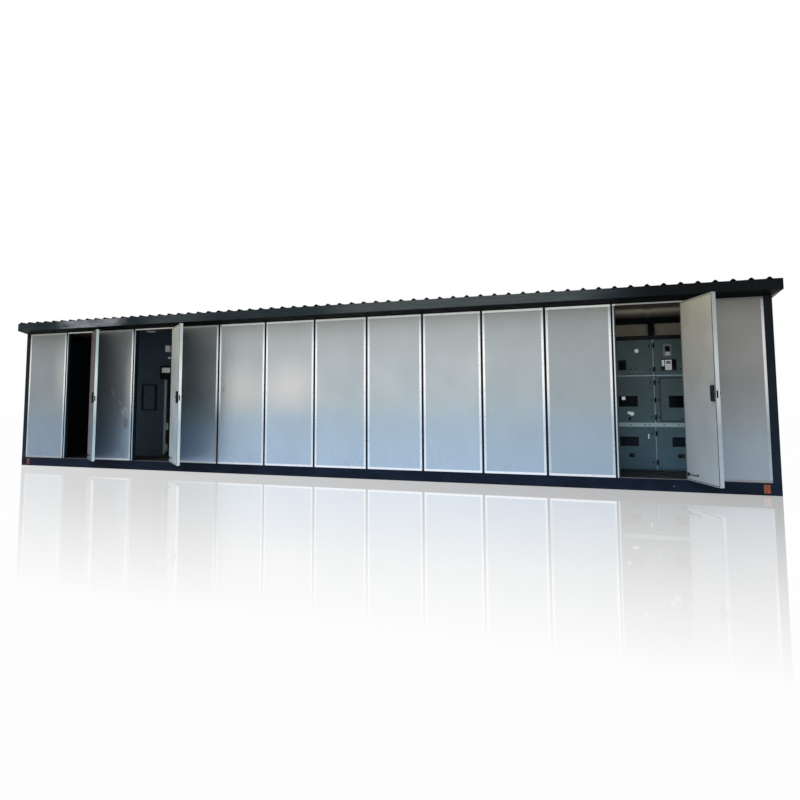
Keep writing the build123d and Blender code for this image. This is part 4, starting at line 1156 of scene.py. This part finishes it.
def make_floor():
    """White floor with a clear mirror image beside the building, which fades further out."""
    bpy.ops.mesh.primitive_plane_add(size=200.0, location=(0, 0, 0))
    floor = bpy.context.object
    floor.name = "studio_floor"
    s = Shader("studio_floor")

    def layers(factor, first, second):
        node = s.new("MixShader")
        s.link(factor, node.inputs[0])
        s.link(first.outputs[0], node.inputs[1])
        s.link(second.outputs[0], node.inputs[2])
        return node

    path = s.new("LightPath")
    diffuse = s.new("BsdfDiffuse")
    diffuse.inputs["Color"].default_value = (0.9, 0.9, 0.9, 1.0)
    white = s.new("Emission")
    white.inputs["Strength"].default_value = 1.0
    gloss = s.new("BsdfGlossy")
    gloss.inputs["Roughness"].default_value = 0.02
    gloss.inputs["Color"].default_value = (1.0, 1.0, 1.0, 1.0)
    seen = s.larger(path.outputs["Is Camera Ray"], path.outputs["Is Glossy Ray"])
    ground = layers(s.times(seen, 0.9), diffuse, white)
    side = s.minus(s.math("ABSOLUTE", s.x), HALF_LENGTH)
    front = s.minus(s.math("ABSOLUTE", s.y), REAR)
    share = s.larger(s.math("DIVIDE", s.larger(side, front), MIRROR_REACH), 0.0)
    fade = s.larger(s.minus(1.0, s.math("POWER", share, 1.9)), 0.0)
    along = s.range(s.x, -HALF_LENGTH, HALF_LENGTH, 0.27, 0.55, smooth=False)
    mirror = s.times(s.times(fade, along), path.outputs["Is Camera Ray"])
    both = layers(mirror, ground, gloss)
    s.link(both.outputs[0], s.tree.nodes["Material Output"].inputs["Surface"])
    s.tree.nodes.remove(s.surface)
    floor.data.materials.append(s.material)


def add_light(name, kind, energy, place, direction):
    light = bpy.data.lights.new(name, kind)
    light.energy = energy
    lamp = bpy.data.objects.new(name, light)
    bpy.context.scene.collection.objects.link(lamp)
    lamp.location = place
    lamp.rotation_euler = Vector(direction).to_track_quat("-Z", "Y").to_euler()
    return lamp


def make_light():
    """Soft studio light: pale surroundings, one broad soft sun, a dim lamp in the right room."""
    world = bpy.data.worlds.new("studio")
    bpy.context.scene.world = world
    world.use_nodes = True
    nodes = Nodes(world.node_tree)
    path = nodes.new("LightPath")
    seen = nodes.larger(path.outputs["Is Camera Ray"], path.outputs["Is Glossy Ray"])
    seen = nodes.larger(seen, path.outputs["Is Transmission Ray"])
    back = world.node_tree.nodes["Background"]
    back.inputs["Color"].default_value = (1.0, 1.0, 1.0, 1.0)
    nodes.link(nodes.range(seen, 0.0, 1.0, 0.72, 1.0, smooth=False), back.inputs["Strength"])

    sun = add_light("soft_sun", "SUN", 1.1, (0, 0, 0), (0.35, 0.80, -1.0))
    sun.data.angle = math.radians(50)
    room = add_light("room_light", "AREA", 3.6, (SEAM, 0.02, 2.70), (0.0, 0.9, 0.8))
    room.data.shape = "RECTANGLE"
    room.data.size = 1.4
    room.data.size_y = 0.3
    room.visible_camera = False
    room.visible_glossy = False


def dress_nodes(made):
    """Gives each CAD node the material of its slot."""
    by_node = {s["node"]: s["material_slot"] for s in frame["record"]["subparts"]}
    by_node["ceiling_strip"] = "ceiling"
    for node, obj in frame["nodes"].items():
        obj.data.materials.clear()
        obj.data.materials.append(made[by_node[node]])


def soften(names, width):
    """Small bevel on the edges of CAD nodes."""
    for name in names:
        bevel = frame["nodes"][name].modifiers.new("edges", "BEVEL")
        bevel.width = width
        bevel.segments = 2
        bevel.limit_method = "ANGLE"
        bevel.angle_limit = math.radians(40)


def main():
    make_camera()
    bpy.context.scene.view_settings.view_transform = "Standard"
    light = simple_paint("pale_plastic", (238, 242, 238), 0.45, 0.04)
    # This enamel gives off some light of its own: painted light on dials, labels and the glare square
    self_lit_enamel = simple_paint("white_enamel", (246, 252, 252), 0.4, 0.03, painted_light=0.22)
    grey = simple_paint("grey_plastic", (146, 158, 162), 0.5, 0.1)
    dark = simple_paint("black_plastic", (12, 16, 19), 0.4, 0.25, 0.0, 0.15)
    rubber = simple_paint("black_rubber", (16, 17, 18), 0.7, 0.2, 0.0, 0.1)
    screw = simple_paint("screw_steel", (150, 154, 158), 0.32, 0.1, 0.9)
    glass = dark_glass()
    made = {
        "panel_skin": panel_skin(),
        "edge_trim": edge_trim(),
        "fascia_steel": fascia_steel(),
        "roof_steel": roof_steel(),
        "frame_steel": frame_steel(),
        "base_steel": base_steel(),
        "floor_steel": floor_steel(),
        "door_skin": door_skin(),
        "cubicle_paint": cubicle_paint(),
        "ceiling": ceiling_paint(),
        "lining_cream": simple_paint("lining_cream", (154, 149, 130), 0.55, 0.1),
        "lamp": light,
        "hinge_steel": simple_paint("hinge_steel", (120, 124, 128), 0.35, 0.12, 0.8),
        "lock_black": simple_paint("lock_black", (20, 30, 28), 0.4, 0.25, 0.0, 0.15),
        "cubicle_band": simple_paint("cubicle_band", (184, 210, 222), 0.4, 0.08, 0.2),
        "dark_plastic": dark,
        "instrument_grey": grey,
        "screen_paint": simple_paint("screen_paint", (54, 72, 86), 0.5, 0.12, 0.0, 0.15),
        "dark_frame": simple_paint("dark_frame", (14, 17, 21), 0.45, 0.2, 0.0, 0.15),
        "marker_orange": marker_paint(),
    }
    dress_nodes(made)
    soften(["base_side_beams", "base_end_beams", "corner_posts", "screen_window_frame"], 0.002)
    soften(["cubicle_left_doors", "cubicle_right_doors", "doorway_jambs", "marker_plates"], 0.0015)
    wall_screws(screw)
    for number, (a, b) in enumerate(doorway_limits(), 1):
        door_details(number, a, b, screw, dark, rubber)
        door_lever(number, a, b, made["lock_black"], made["hinge_steel"])
    doorway_details(made["hinge_steel"], rubber)
    roof_screws(screw, rubber)
    fascia_details(made["fascia_steel"])
    base_details(screw, dark, simple_paint("worn_bolt", (112, 96, 92), 0.5, 0.2), made["base_steel"])
    cubicle_windows(dark, glass)
    cubicle_instruments(self_lit_enamel, grey, dark, glass, screw)
    cubicle_small_parts(self_lit_enamel, grey, dark)
    cubicle_locks(dark, simple_paint("latch_grey", (52, 60, 64), 0.5, 0.15))
    screen_fittings(light, grey, dark)
    ceiling_lamp(light, grey)
    make_floor()
    make_light()


main()
